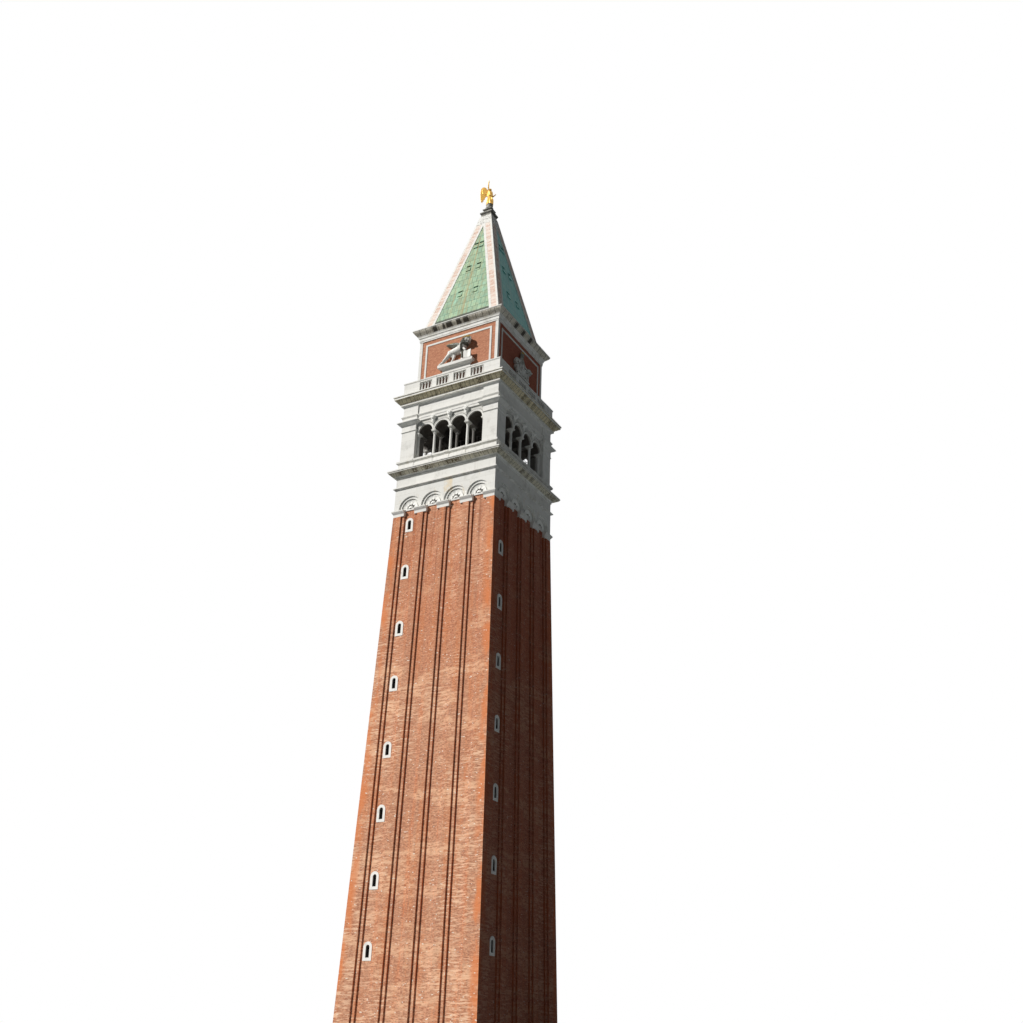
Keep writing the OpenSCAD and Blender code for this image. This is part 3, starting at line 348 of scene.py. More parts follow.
class Recipe(Tree):
    """Node tree of one finish, with the colour and the relief that it has so far"""

    def __init__(self, name):
        self.material = bpy.data.materials.new(name)
        self.material.use_nodes = True
        super().__init__(self.material.node_tree)
        self.shader = self.node("ShaderNodeBsdfPrincipled", {})
        self.node("ShaderNodeOutputMaterial", {"Surface": self.shader.outputs["BSDF"]})
        where = self.node("ShaderNodeTexCoord", {}).outputs
        self.place = where["Object"]
        self.x, self.y, self.z = self.node("ShaderNodeSeparateXYZ", {0: self.place}).outputs
        self.nx, self.ny, self.nz = self.node("ShaderNodeSeparateXYZ", {0: where["Normal"]}).outputs
        self.along = None
        self.flat = None
        self.colour = None
        self.normal = None

    def plus(self, a, b):
        return self.math("ADD", a, b)

    def minus(self, a, b):
        return self.math("SUBTRACT", a, b)

    def size(self, value):
        return self.math("ABSOLUTE", value)

    def times(self, first, *others):
        for other in others:
            first = self.math("MULTIPLY", first, other)
        return first

    def span(self, value, low, high):
        """Goes from 0 at low to 1 at high"""
        ends = {0: value, 1: low, 2: high, 3: 0.0, 4: 1.0}
        return self.node("ShaderNodeMapRange", ends, interpolation_type="SMOOTHSTEP").outputs[0]

    def fall(self, value, low, high):
        """Goes from 1 at low to 0 at high"""
        return self.minus(1.0, self.span(value, low, high))

    def gap(self, aside, over):
        """Distance from a centre, of which both parts are given"""
        return self.math("SQRT", self.plus(self.times(aside, aside), self.times(over, over)))

    def vector(self, x, y, z=0.0):
        return self.node("ShaderNodeCombineXYZ", {0: x, 1: y, 2: z}).outputs[0]

    def stretch(self, place, x, y, z=1.0, shift=0.0):
        stretched = {"Vector": place, "Scale": (x, y, z), "Location": (shift, shift * 0.7, shift * 0.3)}
        return self.node("ShaderNodeMapping", stretched, vector_type="POINT").outputs[0]

    def noise(self, place, scale, detail=4.0, rough=0.6):
        pattern = {"Vector": place, "Scale": scale, "Detail": detail, "Roughness": rough}
        return self.node("ShaderNodeTexNoise", pattern).outputs[0]

    def cloud(self, scale, detail=4.0, rough=0.6):
        return self.noise(self.place, scale, detail, rough)

    def streaks(self, x, y, shift=0.0, detail=4.0):
        return self.noise(self.stretch(self.flat, x, y, 1.0, shift), 1.0, detail)

    def patches(self, low, high, x, y, shift=0.0, detail=4.0):
        """1 where stretched noise is high, 0 where it is low"""
        return self.span(self.streaks(x, y, shift, detail), low, high)

    def chance(self, place):
        """One random number for each whole step of a place"""
        whole = self.node("ShaderNodeVectorMath", {0: place}, operation="FLOOR").outputs[0]
        made = self.node("ShaderNodeTexWhiteNoise", {"Vector": whole}, noise_dimensions="3D")
        return made.outputs["Value"]

    def reach(self):
        """Distance from the upright axis, square in plan"""
        return self.math("MAXIMUM", self.size(self.x), self.size(self.y))

    def inset(self):
        """Distance from the nearest diagonal of the plan"""
        return self.minus(self.reach(), self.math("MINIMUM", self.size(self.x), self.size(self.y)))

    def under(self, low, high):
        """1 on faces that look down"""
        return self.span(self.times(self.nz, -1.0), low, high)

    def shade_side(self):
        """1 on the right side and the back, which are given painted shade, 0 on the others"""
        return self.math("GREATER_THAN", self.plus(self.x, self.y), 0.0)

    def sideways(self):
        """1 on the right and the left side, 0 in front and behind"""
        return self.math("GREATER_THAN", self.size(self.x), self.size(self.y))

    def side_place(self):
        """The place along the side of the tower that a point is on"""
        return self.node("ShaderNodeMix", {0: self.sideways(), 2: self.x, 3: self.y}).outputs[0]

    def folded(self, pitch, middle):
        """Distance along the side from the nearest line of a row; middle 0.5 puts lines halfway between"""
        step = self.plus(self.math("DIVIDE", self.side_place(), pitch), 0.5 - middle)
        return self.times(self.size(self.minus(self.math("FRACT", step), 0.5)), pitch)

    def lay_flat(self):
        """Sets flat coordinates on the side that a face looks to, and the place along it"""
        sideways = self.math("GREATER_THAN", self.size(self.nx), 0.6)
        level = self.math("GREATER_THAN", self.size(self.nz), 0.8)
        self.along = self.node("ShaderNodeMix", {0: sideways, 2: self.x, 3: self.y}).outputs[0]
        up = self.node("ShaderNodeMix", {0: level, 2: self.z, 3: self.y}).outputs[0]
        self.flat = self.vector(self.along, up)

    def mix(self, factor, a, b):
        made = self.node("ShaderNodeMix", {}, data_type="RGBA", blend_type="MIX", clamp_factor=True)
        for key, value in ((0, factor), (6, a), (7, b)):
            self.feed(made.inputs[key], value)
        return made.outputs[2]

    def coat(self, paint, *amounts):
        """Lays a colour over what is there, as thick as the product of the amounts"""
        self.colour = self.mix(self.times(*amounts), self.colour, paint)

    def blocks(self, light, dark, mortar, width, row, joint, offset=0.5):
        """Courses of bricks or blocks, drawn at ten times their size; gives where their joints are"""
        pattern = {
            "Vector": self.flat,
            "Color1": dark,
            "Color2": light,
            "Mortar": mortar,
            "Scale": 10.0,
            "Mortar Size": 10.0 * joint,
            "Mortar Smooth": 0.3,
            "Bias": 0.0,
            "Brick Width": 10.0 * width,
            "Row Height": 10.0 * row,
        }
        made = self.node("ShaderNodeTexBrick", pattern, offset=offset)
        self.colour = made.outputs["Color"]
        return made.outputs["Fac"]

    def relief(self, height, distance, strength=0.6):
        bump = {"Strength": strength, "Distance": distance, "Height": height}
        self.normal = self.node("ShaderNodeBump", bump).outputs[0]

    def grain(self, distance=0.0004, scale=240.0, share=1.0, joints=None):
        """Fine grain of cut stone, with its joints sunk"""
        height = self.cloud(scale, 3.0)
        if joints is not None:
            height = self.minus(self.times(height, share), joints)
        self.relief(height, distance)

    def finish(self, rough, metallic=0.0, shine=0.12):
        self.feed(self.shader.inputs["Base Color"], self.colour)
        self.feed(self.shader.inputs["Roughness"], rough)
        if self.normal is not None:
            self.join(self.normal, self.shader.inputs["Normal"])
        self.shader.inputs["Metallic"].default_value = metallic
        self.shader.inputs["Specular IOR Level"].default_value = shine
        return self.material


def dress(material, *names):
    """Gives one finish to construction parts"""
    for name in names:
        mesh = NODES[name].data
        if not mesh.materials:
            mesh.materials.append(material)
        for i in range(len(mesh.materials)):
            mesh.materials[i] = material


def scaled(colour, factor):
    return tuple(min(1.0, c * factor) for c in colour)


def around(name):
    """The four construction parts of one name, one for each side"""
    return [side + name for side in ("front_", "right_", "back_", "left_")]


def brick_recipe(name, settings):
    """Brickwork to lay the weather on, and where its joints are"""
    r = Recipe(name)
    r.lay_flat()
    sizes = (settings.length, settings.course, settings.joint)
    return r, r.blocks(settings.light, settings.dark, settings.mortar, *sizes)


def shaft_depth(r):
    """Half width of the shaft at a height, and how far a point lies behind its face"""
    face = r.minus(SHAFT_FOOT, r.times(r.z, SHAFT_TAPER))
    return face, r.minus(face, r.reach())


def shaft_finish(name, settings):
    """Weathered shaft brick: level washed streaks, darker runs near the top, orange corners, painted shade
    in the window reveals and on the right side and the back
    """
    r, joints = brick_recipe(name, settings)
    high = r.span(r.z, 2.4, 4.9)
    r.coat(BRICK_HIGH, high, 0.40)
    r.coat(BRICK_FIRED, r.patches(0.46, 0.66, 13.0, 0.8, 2.4), 0.50)
    r.coat(scaled(settings.dark, 0.68), r.patches(0.47, 0.62, 46.0, 96.0, 3.1, 5.0), 0.60)
    washed = r.patches(0.49, 0.61, 8.0, 62.0, 0.0, 6.0)
    cloud = r.patches(0.38, 0.62, 1.5, 1.3, 8.0, 2.0)
    r.coat(settings.peach, washed, cloud, r.minus(0.84, r.times(high, 0.40)))
    pale = r.patches(0.56, 0.68, 52.0, 104.0, 7.7, 5.0)
    r.coat(settings.peach, pale, 0.55)
    wide_bed = r.patches(0.50, 0.60, 1.4, 5.0, 5.0, 3.0)
    thin_bed = r.patches(0.42, 0.56, 16.0, 50.0, 2.0)
    r.coat(BRICK_BED, wide_bed, thin_bed, r.minus(0.55, r.times(r.span(r.z, 3.4, 4.7), 0.33)))
    runs = r.patches(0.48, 0.68, 30.0, 0.9, 1.7)
    r.coat(scaled(settings.dark, 0.62), runs, r.span(r.z, 3.7, 5.15), 0.62)
    face, depth = shaft_depth(r)
    corner = r.fall(r.minus(face, r.size(r.along)), 0.030, 0.110)
    r.coat(BRICK_CORNER, corner, r.patches(0.40, 0.60, 9.0, 3.5, 6.0), 0.75)
    r.coat(BRICK_LIMED, r.patches(0.705, 0.735, 30.0, 62.0, 9.0, 1.0), 0.9)
    # Painted shade in the window reveals
    r.coat(BRICK_REVEAL_SHADE, r.span(depth, 0.035, 0.055), 0.93)
    # Painted shade: the right side and the back made darker
    r.coat(BRICK_SIDE_SHADE, r.shade_side(), 0.58)
    r.relief(r.minus(r.times(pale, 0.25), joints), 0.0005, 0.5)
    return r.finish(0.86)


def attic_finish(name, settings):
    """Even attic brick with a fine grain, with painted shade at its foot behind the balustrade, on the right
    side and the back, and on its inner faces
    """
    r, joints = brick_recipe(name, settings)
    r.coat(ATTIC_EVEN, 0.60)
    fine = r.patches(0.44, 0.62, 60.0, 110.0, 5.0, 4.0)
    r.coat(scaled(settings.dark, 0.74), fine, 0.50)
    r.coat(ATTIC_WASHED, r.patches(0.52, 0.66, 26.0, 64.0), 0.50)
    # Painted shade at the attic's foot, behind the balustrade
    foot = r.fall(r.plus(r.z, r.times(fine, 0.02)), TERRACE + 0.232, TERRACE + 0.275)
    r.coat(ATTIC_FOOT_SHADE, foot, 0.92)
    # Painted shade: the right side and the back made darker
    r.coat(BRICK_SIDE_SHADE, r.shade_side(), 0.58)
    # Painted shade on the attic's inner faces
    r.coat(ATTIC_INSIDE_SHADE, r.fall(r.reach(), 0.470, 0.480))
    r.relief(r.minus(r.times(fine, 0.3), joints), 0.0005, 0.5)
    return r.finish(0.86)


def stone_recipe(name, settings, dirt, moss_and_shade, joints=0.5, streaks=0.4, ochre=0.0, inside=None, indoor_shade=0.92):
    """Pale stone in blocks, washed clean in front, grey in streaks, with olive moss and painted shade on the
    faces that look down, and painted shade indoors
    """
    r = Recipe(name)
    r.lay_flat()
    shades = (settings.pale, scaled(settings.pale, 0.93), scaled(settings.grey, 1.7))
    gaps = r.blocks(*shades, settings.block, settings.course, 0.0012 * joints)
    r.coat(settings.grey, r.span(r.cloud(11.0, 6.0, 0.66), 0.50, 0.76), dirt)
    r.coat(settings.grey, r.patches(0.55, 0.78, 42.0, 3.0), streaks * dirt)
    if ochre:
        r.coat(STONE_OCHRE, r.patches(0.60, 0.74, 16.0, 7.0, 4.0), 0.35 * ochre)
        aside = r.fall(r.size(r.minus(r.x, 0.050)), 0.030, 0.060)
        over = r.fall(r.size(r.minus(r.z, 5.430)), 0.050, 0.095)
        in_front = r.math("LESS_THAN", r.y, 0.0)
        r.coat(STONE_RUST, aside, over, in_front, r.patches(0.25, 0.62, 40.0, 18.0, 2.0), 0.75 * ochre)
    # Olive moss, with painted shade, on faces that look down
    moss = r.span(r.cloud(21.0, 5.0), 0.36, 0.64)
    r.coat(settings.olive, r.under(0.05, 0.75), moss, moss_and_shade)
    # Painted shade indoors: the stone turns dark nearer the axis than a given reach
    if inside is not None:
        r.coat(STONE_INDOOR_SHADE, r.fall(r.reach(), inside, inside + 0.030), indoor_shade)
    r.grain(0.0005, 260.0, 0.35, gaps)
    return r


def shell_finish(name, settings):
    """White stone of the fluted shells, with a ring of painted shade round each hub"""
    r = Recipe(name)
    aside = r.folded(ARCADE_PITCH, 0.5)
    over = r.minus(r.z, ARCADE_SPRING)
    ray = r.math("SINE", r.times(r.math("ARCTAN2", over, aside), 5.0))
    edge = r.plus(r.gap(aside, over), r.times(r.size(ray), 0.012))
    r.colour = scaled(settings.pale, 1.16)
    r.coat(settings.grey, r.span(r.cloud(40.0), 0.50, 0.72), 0.30)
    # Painted shade: a dark ring round the hub
    r.coat(SHELL_RING_SHADE, r.span(edge, 0.031, 0.036), r.fall(edge, 0.052, 0.057), 0.92)
    r.grain()
    return r.finish(0.74)


def arch_finish(name, settings):
    """Stone of the belfry arches: painted shade in the openings, with a painted shadow line round each ring
    and grey painted shade outside it
    """
    r = stone_recipe(name, settings, dirt=0.35, moss_and_shade=0.70, joints=0.0, streaks=0.5, inside=0.526)
    gap = r.gap(r.folded(ARCH_PITCH, 0.5), r.math("MAXIMUM", r.minus(r.z, ARCH_SPRING), 0.0))
    # Painted shade outside each ring, and a painted shadow line round it
    r.coat(settings.grey, r.span(gap, 0.106, 0.111), 0.38)
    r.coat(ARCH_RING_SHADOW, r.span(gap, 0.1050, 0.1085), r.fall(gap, 0.1125, 0.1175), 0.72)
    return r.finish(0.72)


def boss_finish(name, settings):
    """White carved stone, with painted shade in its drilled eye and in the hollow round the head, and grey
    painted shade on the drop below
    """
    r = Recipe(name)
    over = r.minus(r.z, BOSS_CENTRE)
    gap = r.gap(r.folded(ARCH_PITCH, 0.0), over)
    r.colour = scaled(settings.pale, 1.22)
    r.coat(settings.grey, r.span(r.cloud(60.0), 0.52, 0.74), 0.20)
    # Painted shade in the eye, in the hollow round the head and on the drop below
    r.coat(BOSS_EYE_SHADE, r.fall(gap, 0.0040, 0.0075), 0.80)
    r.coat(BOSS_HOLLOW_SHADE, r.span(gap, 0.0150, 0.0175), r.fall(gap, 0.0195, 0.0225), 0.15)
    r.coat(settings.grey, r.fall(over, -0.050, -0.024), 0.35)
    r.grain()
    return r.finish(0.74)


def window_finish(name, settings):
    """White window stone, with painted shade inside its slit"""
    r = Recipe(name)
    r.colour = scaled(settings.pale, 1.08)
    r.coat(settings.grey, r.span(r.cloud(24.0, 5.0), 0.52, 0.76), 0.40)
    depth = shaft_depth(r)[1]
    # Painted shade inside the window slit
    r.coat(WINDOW_SLIT_SHADE, r.span(depth, PANEL_DEPTH + 0.001, PANEL_DEPTH + 0.007), 0.95)
    r.grain()
    return r.finish(0.70)


def cornice_finish(name, settings, tan, edge, wide, block, soot, soft, stains):
    """Cornice stone: clean on its nose, grey near the wall and lighter there as a painted bounce light, tan
    and olive outside, with sooty blocks
    """
    r = Recipe(name)
    far = r.reach()
    side = r.sideways()
    along = r.side_place()
    r.flat = r.vector(along, far)
    turn = r.plus(r.times(side, 7.0), r.times(r.math("SIGN", r.plus(r.x, r.y)), 3.0))
    step = r.math("DIVIDE", along, block)
    tint = r.chance(r.vector(step, turn, 4.5))
    gap = r.size(r.minus(r.math("FRACT", step), 0.5))
    joint = r.times(r.span(gap, 0.43, 0.470), 0.62)

    front = r.times(r.minus(1.0, side), r.math("LESS_THAN", r.y, 0.0))
    frayed = r.times(r.minus(r.streaks(50.0, 60.0, 3.0), 0.5), 0.030 + 3.0 * soft)
    ragged = r.plus(along, frayed)
    sooty = r.times(r.math("GREATER_THAN", tint, 0.62), r.fall(gap, 0.30, 0.36), r.minus(1.0, front))
    sooty = r.times(sooty, 1.0 - 16.0 * soft)
    reach = 0.006 + soft
    for low, high in stains:
        patch = r.times(r.span(ragged, low - reach, low + reach), r.fall(ragged, high - reach, high + reach))
        sooty = r.math("MAXIMUM", sooty, r.times(front, patch))

    wear = r.cloud(13.0, 5.0, 0.66)
    r.colour = settings.pale
    r.coat(settings.grey, r.span(wear, 0.50, 0.75), 0.55)
    clean = r.colour
    r.colour = tan
    r.coat(settings.olive, r.span(r.cloud(15.0, 5.0, 0.65), 0.44, 0.68), 0.42)
    r.coat(scaled(tan, 0.62), tint, 0.45)
    spots = r.noise(r.stretch(r.place, 1.0, 1.0, 1.6, 3.0), 62.0, 3.0)
    r.coat(CORNICE_SPOTS, r.span(spots, 0.54, 0.64), 0.50)
    r.coat(CORNICE_CRUST, r.patches(0.56, 0.68, 30.0, 16.0, 9.0), 0.45)
    thin = r.patches(0.30 + 4.0 * soft, 0.36 + 10.0 * soft, 90.0, 70.0, 6.0, 3.0)
    r.coat(soot, sooty, thin, 0.90)
    r.coat(CORNICE_JOINT, joint)
    band = r.colour
    # Under faces near the wall: pale stone a tenth lighter than clean stone, a painted bounce light, with
    # grey wear laid over it
    r.colour = scaled(settings.pale, 1.10)
    r.coat(scaled(settings.grey, 1.9), r.span(wear, 0.40, 0.70))
    r.coat(settings.grey, joint, 0.35)
    r.coat(band, r.span(far, edge - wide - 0.004, edge - wide + 0.004))
    r.colour = r.mix(r.under(0.04, 0.30), clean, r.colour)
    r.grain(0.0006, 240.0, 0.4, joint)
    return r.finish(0.78)


def dark_stone_and_shade_finish(name, settings, dark):
    """Dark grey weathered stone of the cap and the drum, with painted shade on faces that look down"""
    r = Recipe(name)
    wear = r.cloud(30.0, 6.0, 0.66)
    r.colour = dark
    r.coat(scaled(settings.grey, 1.25), r.span(wear, 0.40, 0.60))
    # Painted shade on faces that look down
    r.coat(CAP_UNDER_SHADE, r.under(0.05, 0.45), 0.82)
    r.relief(wear, 0.0009, 0.7)
    return r.finish(0.78)


def lion_finish(name, settings):
    """Mottled pale stone with a dark mane and wing, a painted shadow down the standing foreleg, painted
    shade on faces that look down and a gilded edge to the nimbus
    """
    r = Recipe(name)
    u = r.times(r.x, r.times(r.math("SIGN", r.y), -1.0))
    h = r.minus(r.z, LION_FOOT)
    fine = r.cloud(70.0)
    r.colour = scaled(settings.pale, 1.12)
    r.coat(settings.grey, r.span(r.cloud(24.0, 5.0, 0.62), 0.46, 0.70), 0.42)
    lean = r.plus(h, r.times(u, 0.56))
    wing = r.times(r.span(lean, 0.150, 0.166), r.span(h, 0.168, 0.180), r.fall(u, 0.046, 0.062))
    r.coat(r.mix(r.span(fine, 0.40, 0.66), WING_DARK, WING_LIGHT), wing, 0.85)

    def round_patch(x, z, inner, outer):
        return r.fall(r.gap(r.minus(u, x), r.minus(h, z)), inner, outer)

    face = (0.153, 0.219)
    # Painted shadow: an upright dark strip down the standing foreleg, laid in with the mane
    upright = r.times(r.span(u, 0.062, 0.070), r.fall(u, 0.090, 0.100))
    foreleg_shadow = r.times(upright, r.span(h, 0.018, 0.030), r.fall(h, 0.20, 0.23))
    mane = r.math("MAXIMUM", round_patch(0.124, 0.230, 0.058, 0.066), foreleg_shadow)
    mane = r.times(mane, r.minus(1.0, round_patch(*face, 0.024, 0.031)))
    dark = r.mix(r.span(fine, 0.42, 0.70), MANE_AND_SHADOW_DARK, MANE_AND_SHADOW_LIGHT)
    r.coat(dark, mane, 0.93)
    r.coat(dark, round_patch(*face, 0.026, 0.034), 0.42)
    r.coat(LION_GILT, r.span(h, 0.246, 0.258), 0.85)
    # Painted shade on faces that look down
    r.coat(LION_UNDER_SHADE, r.under(0.20, 0.85), 0.45)
    r.grain(0.0005, 220.0)
    return r.finish(0.76)


def figure_finish(name, settings, dark_from, dark_to, gilt_from):
    """Carved stone, rain-washed in front, dark on its upper parts, with painted shade on faces that look
    down, gilded from a height up
    """
    r = Recipe(name)
    cloud = r.cloud(17.0, 5.0, 0.62)
    r.colour = settings.pale
    r.coat(settings.grey, r.span(cloud, 0.42, 0.70), 0.65)
    r.lay_flat()
    r.coat(FIGURE_RUNS, r.patches(0.52, 0.66, 36.0, 5.0, 2.0), 0.75)
    height = r.plus(r.z, r.times(cloud, 0.08))
    r.coat(FIGURE_TOP, r.span(height, dark_from + 0.04, dark_to + 0.04), 0.72)
    # Painted shade on faces that look down
    r.coat(FIGURE_UNDER_SHADE, r.under(0.15, 0.80), 0.55)
    r.coat(FIGURE_GILT, r.span(r.z, gilt_from, gilt_from + 0.006))
    r.grain(0.0005, 220.0)
    return r.finish(0.76)


def copper_finish(name, settings):
    """Green sheeting, each sheet its own tint, with rust washed down the middle and mint at the foot,
    painted shade on the right side, the back and in the vents, and a painted shadow line along the foot
    """
    r = Recipe(name)
    r.lay_flat()
    rise = r.minus(r.z, SPIRE_FOOT_Z)
    aside = r.size(r.along)
    r.flat = r.vector(r.along, rise)
    shades = (scaled(settings.pale, 1.16), scaled(settings.pale, 0.74), scaled(settings.mint, 0.36))
    laps = r.blocks(*shades, settings.sheet, settings.lap, 0.0022)
    cloud = r.span(r.noise(r.flat, 17.0, 5.0, 0.62), 0.42, 0.62)
    r.coat(scaled(settings.mint, 0.92), cloud, 0.60)
    r.coat(scaled(settings.pale, 1.32), r.patches(0.50, 0.66, 60.0, 12.0, 4.0), 0.45)
    r.coat(scaled(settings.mint, 0.55), r.patches(0.54, 0.66, 34.0, 20.0, 9.0), 0.40)
    level = r.size(r.minus(r.math("FRACT", r.math("DIVIDE", rise, settings.lap)), 0.5))
    r.coat(scaled(settings.mint, 0.30), r.span(level, 0.455, 0.485), 0.60)
    r.coat(scaled(settings.mint, 0.34), laps, 0.75)
    wash = r.patches(0.46, 0.60, 46.0, 1.1, 1.0)
    middle = r.fall(r.size(r.plus(r.along, 0.004)), 0.004, 0.012)
    line = r.times(middle, r.fall(rise, 1.34, 1.42), r.span(rise, 0.05, 0.30))
    band = r.times(r.fall(aside, 0.03, 0.20), 0.50)
    rust = r.math("ADD", r.times(wash, band), r.times(line, 0.75), True)
    r.coat(settings.ochre, rust, 0.80)
    sides = r.fall(r.size(r.minus(aside, 0.16)), 0.004, 0.035)
    r.coat(settings.ochre, sides, wash, r.fall(rise, 0.30, 0.95), 0.60)
    crossing = r.fall(r.size(r.minus(rise, 1.285)), 0.004, 0.014)
    r.coat(settings.ochre, crossing, r.fall(aside, 0.050, 0.066), 0.6)
    r.coat(COPPER_FOOT, r.fall(rise, 0.02, 0.16), r.patches(0.46, 0.58, 34.0, 6.0, 7.0), 0.85)
    r.coat(COPPER_FRESH, r.fall(rise, 0.10, 1.1), r.patches(0.58, 0.68, 20.0, 9.0, 12.0), 0.70)
    # Painted shade: the right side and the back darker and bluer
    r.coat(COPPER_SIDE_SHADE, r.shade_side(), 0.65)
    # Painted shadow along the foot: a darker band with a dark line at its top, as cast by the cornice's
    # gutter
    edge = r.plus(rise, r.times(r.minus(cloud, 0.5), 0.006))
    r.coat(scaled(settings.mint, 0.30), r.fall(edge, 0.086, 0.128), 0.35)
    r.coat(COPPER_FOOT_SHADOW, r.span(edge, 0.086, 0.090), r.fall(edge, 0.122, 0.128), 0.85)
    depth = r.minus(r.minus(SPIRE_FOOT, r.times(rise, SPIRE_LEAN)), r.reach())
    # Painted shade in the vents' slots, behind the slope
    r.coat(COPPER_VENT_SHADE, r.span(depth, 0.0015, 0.005))
    r.relief(r.plus(laps, r.times(cloud, 0.35)), 0.0010, 0.7)
    return r.finish(0.58, 0.0, 0.25)


def rib_finish(name, stone):
    """Pale stone bands beside the hips, with mortar in the channel of the inlay and painted shade in spots
    at the neck under the cap
    """
    r = Recipe(name)
    inset = r.inset()
    r.flat = r.vector(inset, r.z)
    gaps = r.blocks(scaled(stone.pale, 1.06), scaled(stone.pale, 0.98), stone.grey, 0.5, 0.075, 0.0010, 0.0)
    dirt = r.span(r.noise(r.stretch(r.place, 1.0, 1.0, 0.4), 24.0, 5.0, 0.65), 0.55, 0.78)
    r.coat(RIB_DIRT, dirt, 0.30)
    near = r.span(inset, INLAY_NEAR - 0.0004, INLAY_NEAR)
    far = r.fall(inset, INLAY_FAR, INLAY_FAR + 0.0004)
    r.coat(RIB_MORTAR, near, far, r.fall(r.z, INLAY_TOP, INLAY_TOP + 0.002))
    # Painted shade: dark spots at the neck under the cap
    r.coat(RIB_NECK_SHADE, r.span(r.z, 9.08, 9.20), r.span(r.cloud(60.0), 0.52, 0.62), 0.70)
    r.relief(r.minus(dirt, gaps), 0.0006, 0.7)
    return r.finish(0.80)


def inlay_finish(name, settings):
    """Pink inlaid brick, each brick its own shade, many of them bleached"""
    r = Recipe(name)
    course = r.math("DIVIDE", r.minus(r.z, INLAY_FOOT), settings.inlay)
    lot = r.chance(r.vector(course, r.math("SIGN", r.x), r.math("SIGN", r.y)))
    wear = r.cloud(42.0)
    r.colour = INLAY_PINK
    r.coat(INLAY_PALE, r.span(lot, 0.15, 0.85))
    r.coat(INLAY_BLEACHED, r.span(wear, 0.40, 0.62), 0.65)
    r.coat(INLAY_RED, r.span(wear, 0.60, 0.75), 0.25)
    r.relief(wear, 0.0005)
    return r.finish(0.82)


def gilding_finish(name, settings):
    """Gilding with a soft sheen, worn, with painted shade on faces that look down"""
    r = Recipe(name)
    wear = r.cloud(60.0)
    r.colour = settings.gold
    r.coat(scaled(settings.gold, 0.55), r.span(wear, 0.50, 0.78))
    # Painted shade on faces that look down
    r.coat(GOLD_UNDER_SHADE, r.under(0.10, 0.70), 0.75)
    r.relief(wear, 0.0010, 0.5)
    rough = r.node("ShaderNodeMapRange", {0: wear, 1: 0.3, 2: 0.7, 3: 0.36, 4: 0.55}).outputs[0]
    return r.finish(rough, 0.55, 0.5)


def bloomed_recipe(name, base, bloom, scale, ends, relief):
    """Dull metal or old paint with a bloom of rust"""
    r = Recipe(name)
    cloud = r.cloud(scale)
    r.colour = base
    r.coat(bloom, r.span(cloud, *ends))
    r.relief(cloud, relief, 0.5)
    return r


def pick(*pieces):
    """Selects pieces alone, the first as the active one"""
    bpy.ops.object.select_all(action="DESELECT")
    for piece in pieces:
        piece.select_set(True)
    bpy.context.view_layer.objects.active = pieces[0]


def add_shape(kind, name, **values):
    """Adds one primitive"""
    getattr(bpy.ops.mesh, "primitive_" + kind + "_add")(**values)
    piece = bpy.context.object
    piece.name = name
    return piece


def choose(piece, mode, test):
    """Opens a piece in edit mode, with the points or faces chosen that pass a test, and counts them"""
    bpy.context.view_layer.objects.active = piece
    if piece.mode != "EDIT":
        bpy.ops.object.mode_set(mode="EDIT")
    bpy.ops.mesh.select_mode(type=mode)
    bpy.ops.mesh.select_all(action="DESELECT")
    mesh = bmesh.from_edit_mesh(piece.data)
    found = [part for part in (mesh.verts if mode == "VERT" else mesh.faces) if test(part)]
    for part in found:
        part.select_set(True)
    mesh.select_flush_mode()
    bmesh.update_edit_mesh(piece.data)
    return len(found)


def close_edit():
    if bpy.context.object and bpy.context.object.mode == "EDIT":
        bpy.ops.object.mode_set(mode="OBJECT")


def settle(piece):
    """Puts a piece's place, turn and scale into its mesh"""
    pick(piece)
    bpy.ops.object.transform_apply(location=True, rotation=True, scale=True)
    return piece


def modify(piece, kind, **values):
    """Adds one modifier and applies it"""
    pick(piece)
    made = piece.modifiers.new(kind.lower(), kind)
    for key, value in values.items():
        setattr(made, key, value)
    bpy.ops.object.modifier_apply(modifier=made.name)


def copied(piece, matrix):
    """A copy of a piece with its own mesh, moved by a matrix"""
    pick(piece)
    bpy.ops.object.duplicate(linked=False)
    made = bpy.context.object
    made.matrix_world = matrix
    return settle(made)


def joined(pieces, name):
    """Makes one piece of several"""
    pick(*pieces)
    bpy.ops.object.join()
    made = bpy.context.object
    made.name = name
    return made


def outwards(piece):
    """Merges doubled points and turns the faces outwards"""
    choose(piece, "VERT", lambda v: True)
    bpy.ops.mesh.remove_doubles(threshold=0.00005)
    bpy.ops.mesh.select_all(action="SELECT")
    bpy.ops.mesh.normals_make_consistent(inside=False)
    close_edit()
    return piece


def in_places(piece, places):
    """Puts copies of a piece at places across and along the floor, and takes the piece itself away"""
    made = [copied(piece, Matrix.Translation((x, y, 0.0))) for x, y in places]
    bpy.data.objects.remove(piece)
    return made


def on_each_side(pieces, name):
    """Joins pieces that were made on the front with their copies on the other sides"""
    front = joined(pieces, name)
    turned = [copied(front, Matrix.Rotation(QUARTER * i, 4, "Z")) for i in (1, 2, 3)]
    return joined([front] + turned, name)


def with_twin(piece, name):
    """Joins a piece with its copy on the opposite side"""
    return joined([piece, copied(piece, Matrix.Rotation(math.pi, 4, "Z"))], name)


def seat(piece, body, material):
    """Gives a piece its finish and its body"""
    piece.data.materials.clear()
    piece.data.materials.append(material)
    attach(piece, body)


def spire_face(rise):
    """Half width of the spire at a height above its foot"""
    return SPIRE_FOOT - SPIRE_LEAN * rise


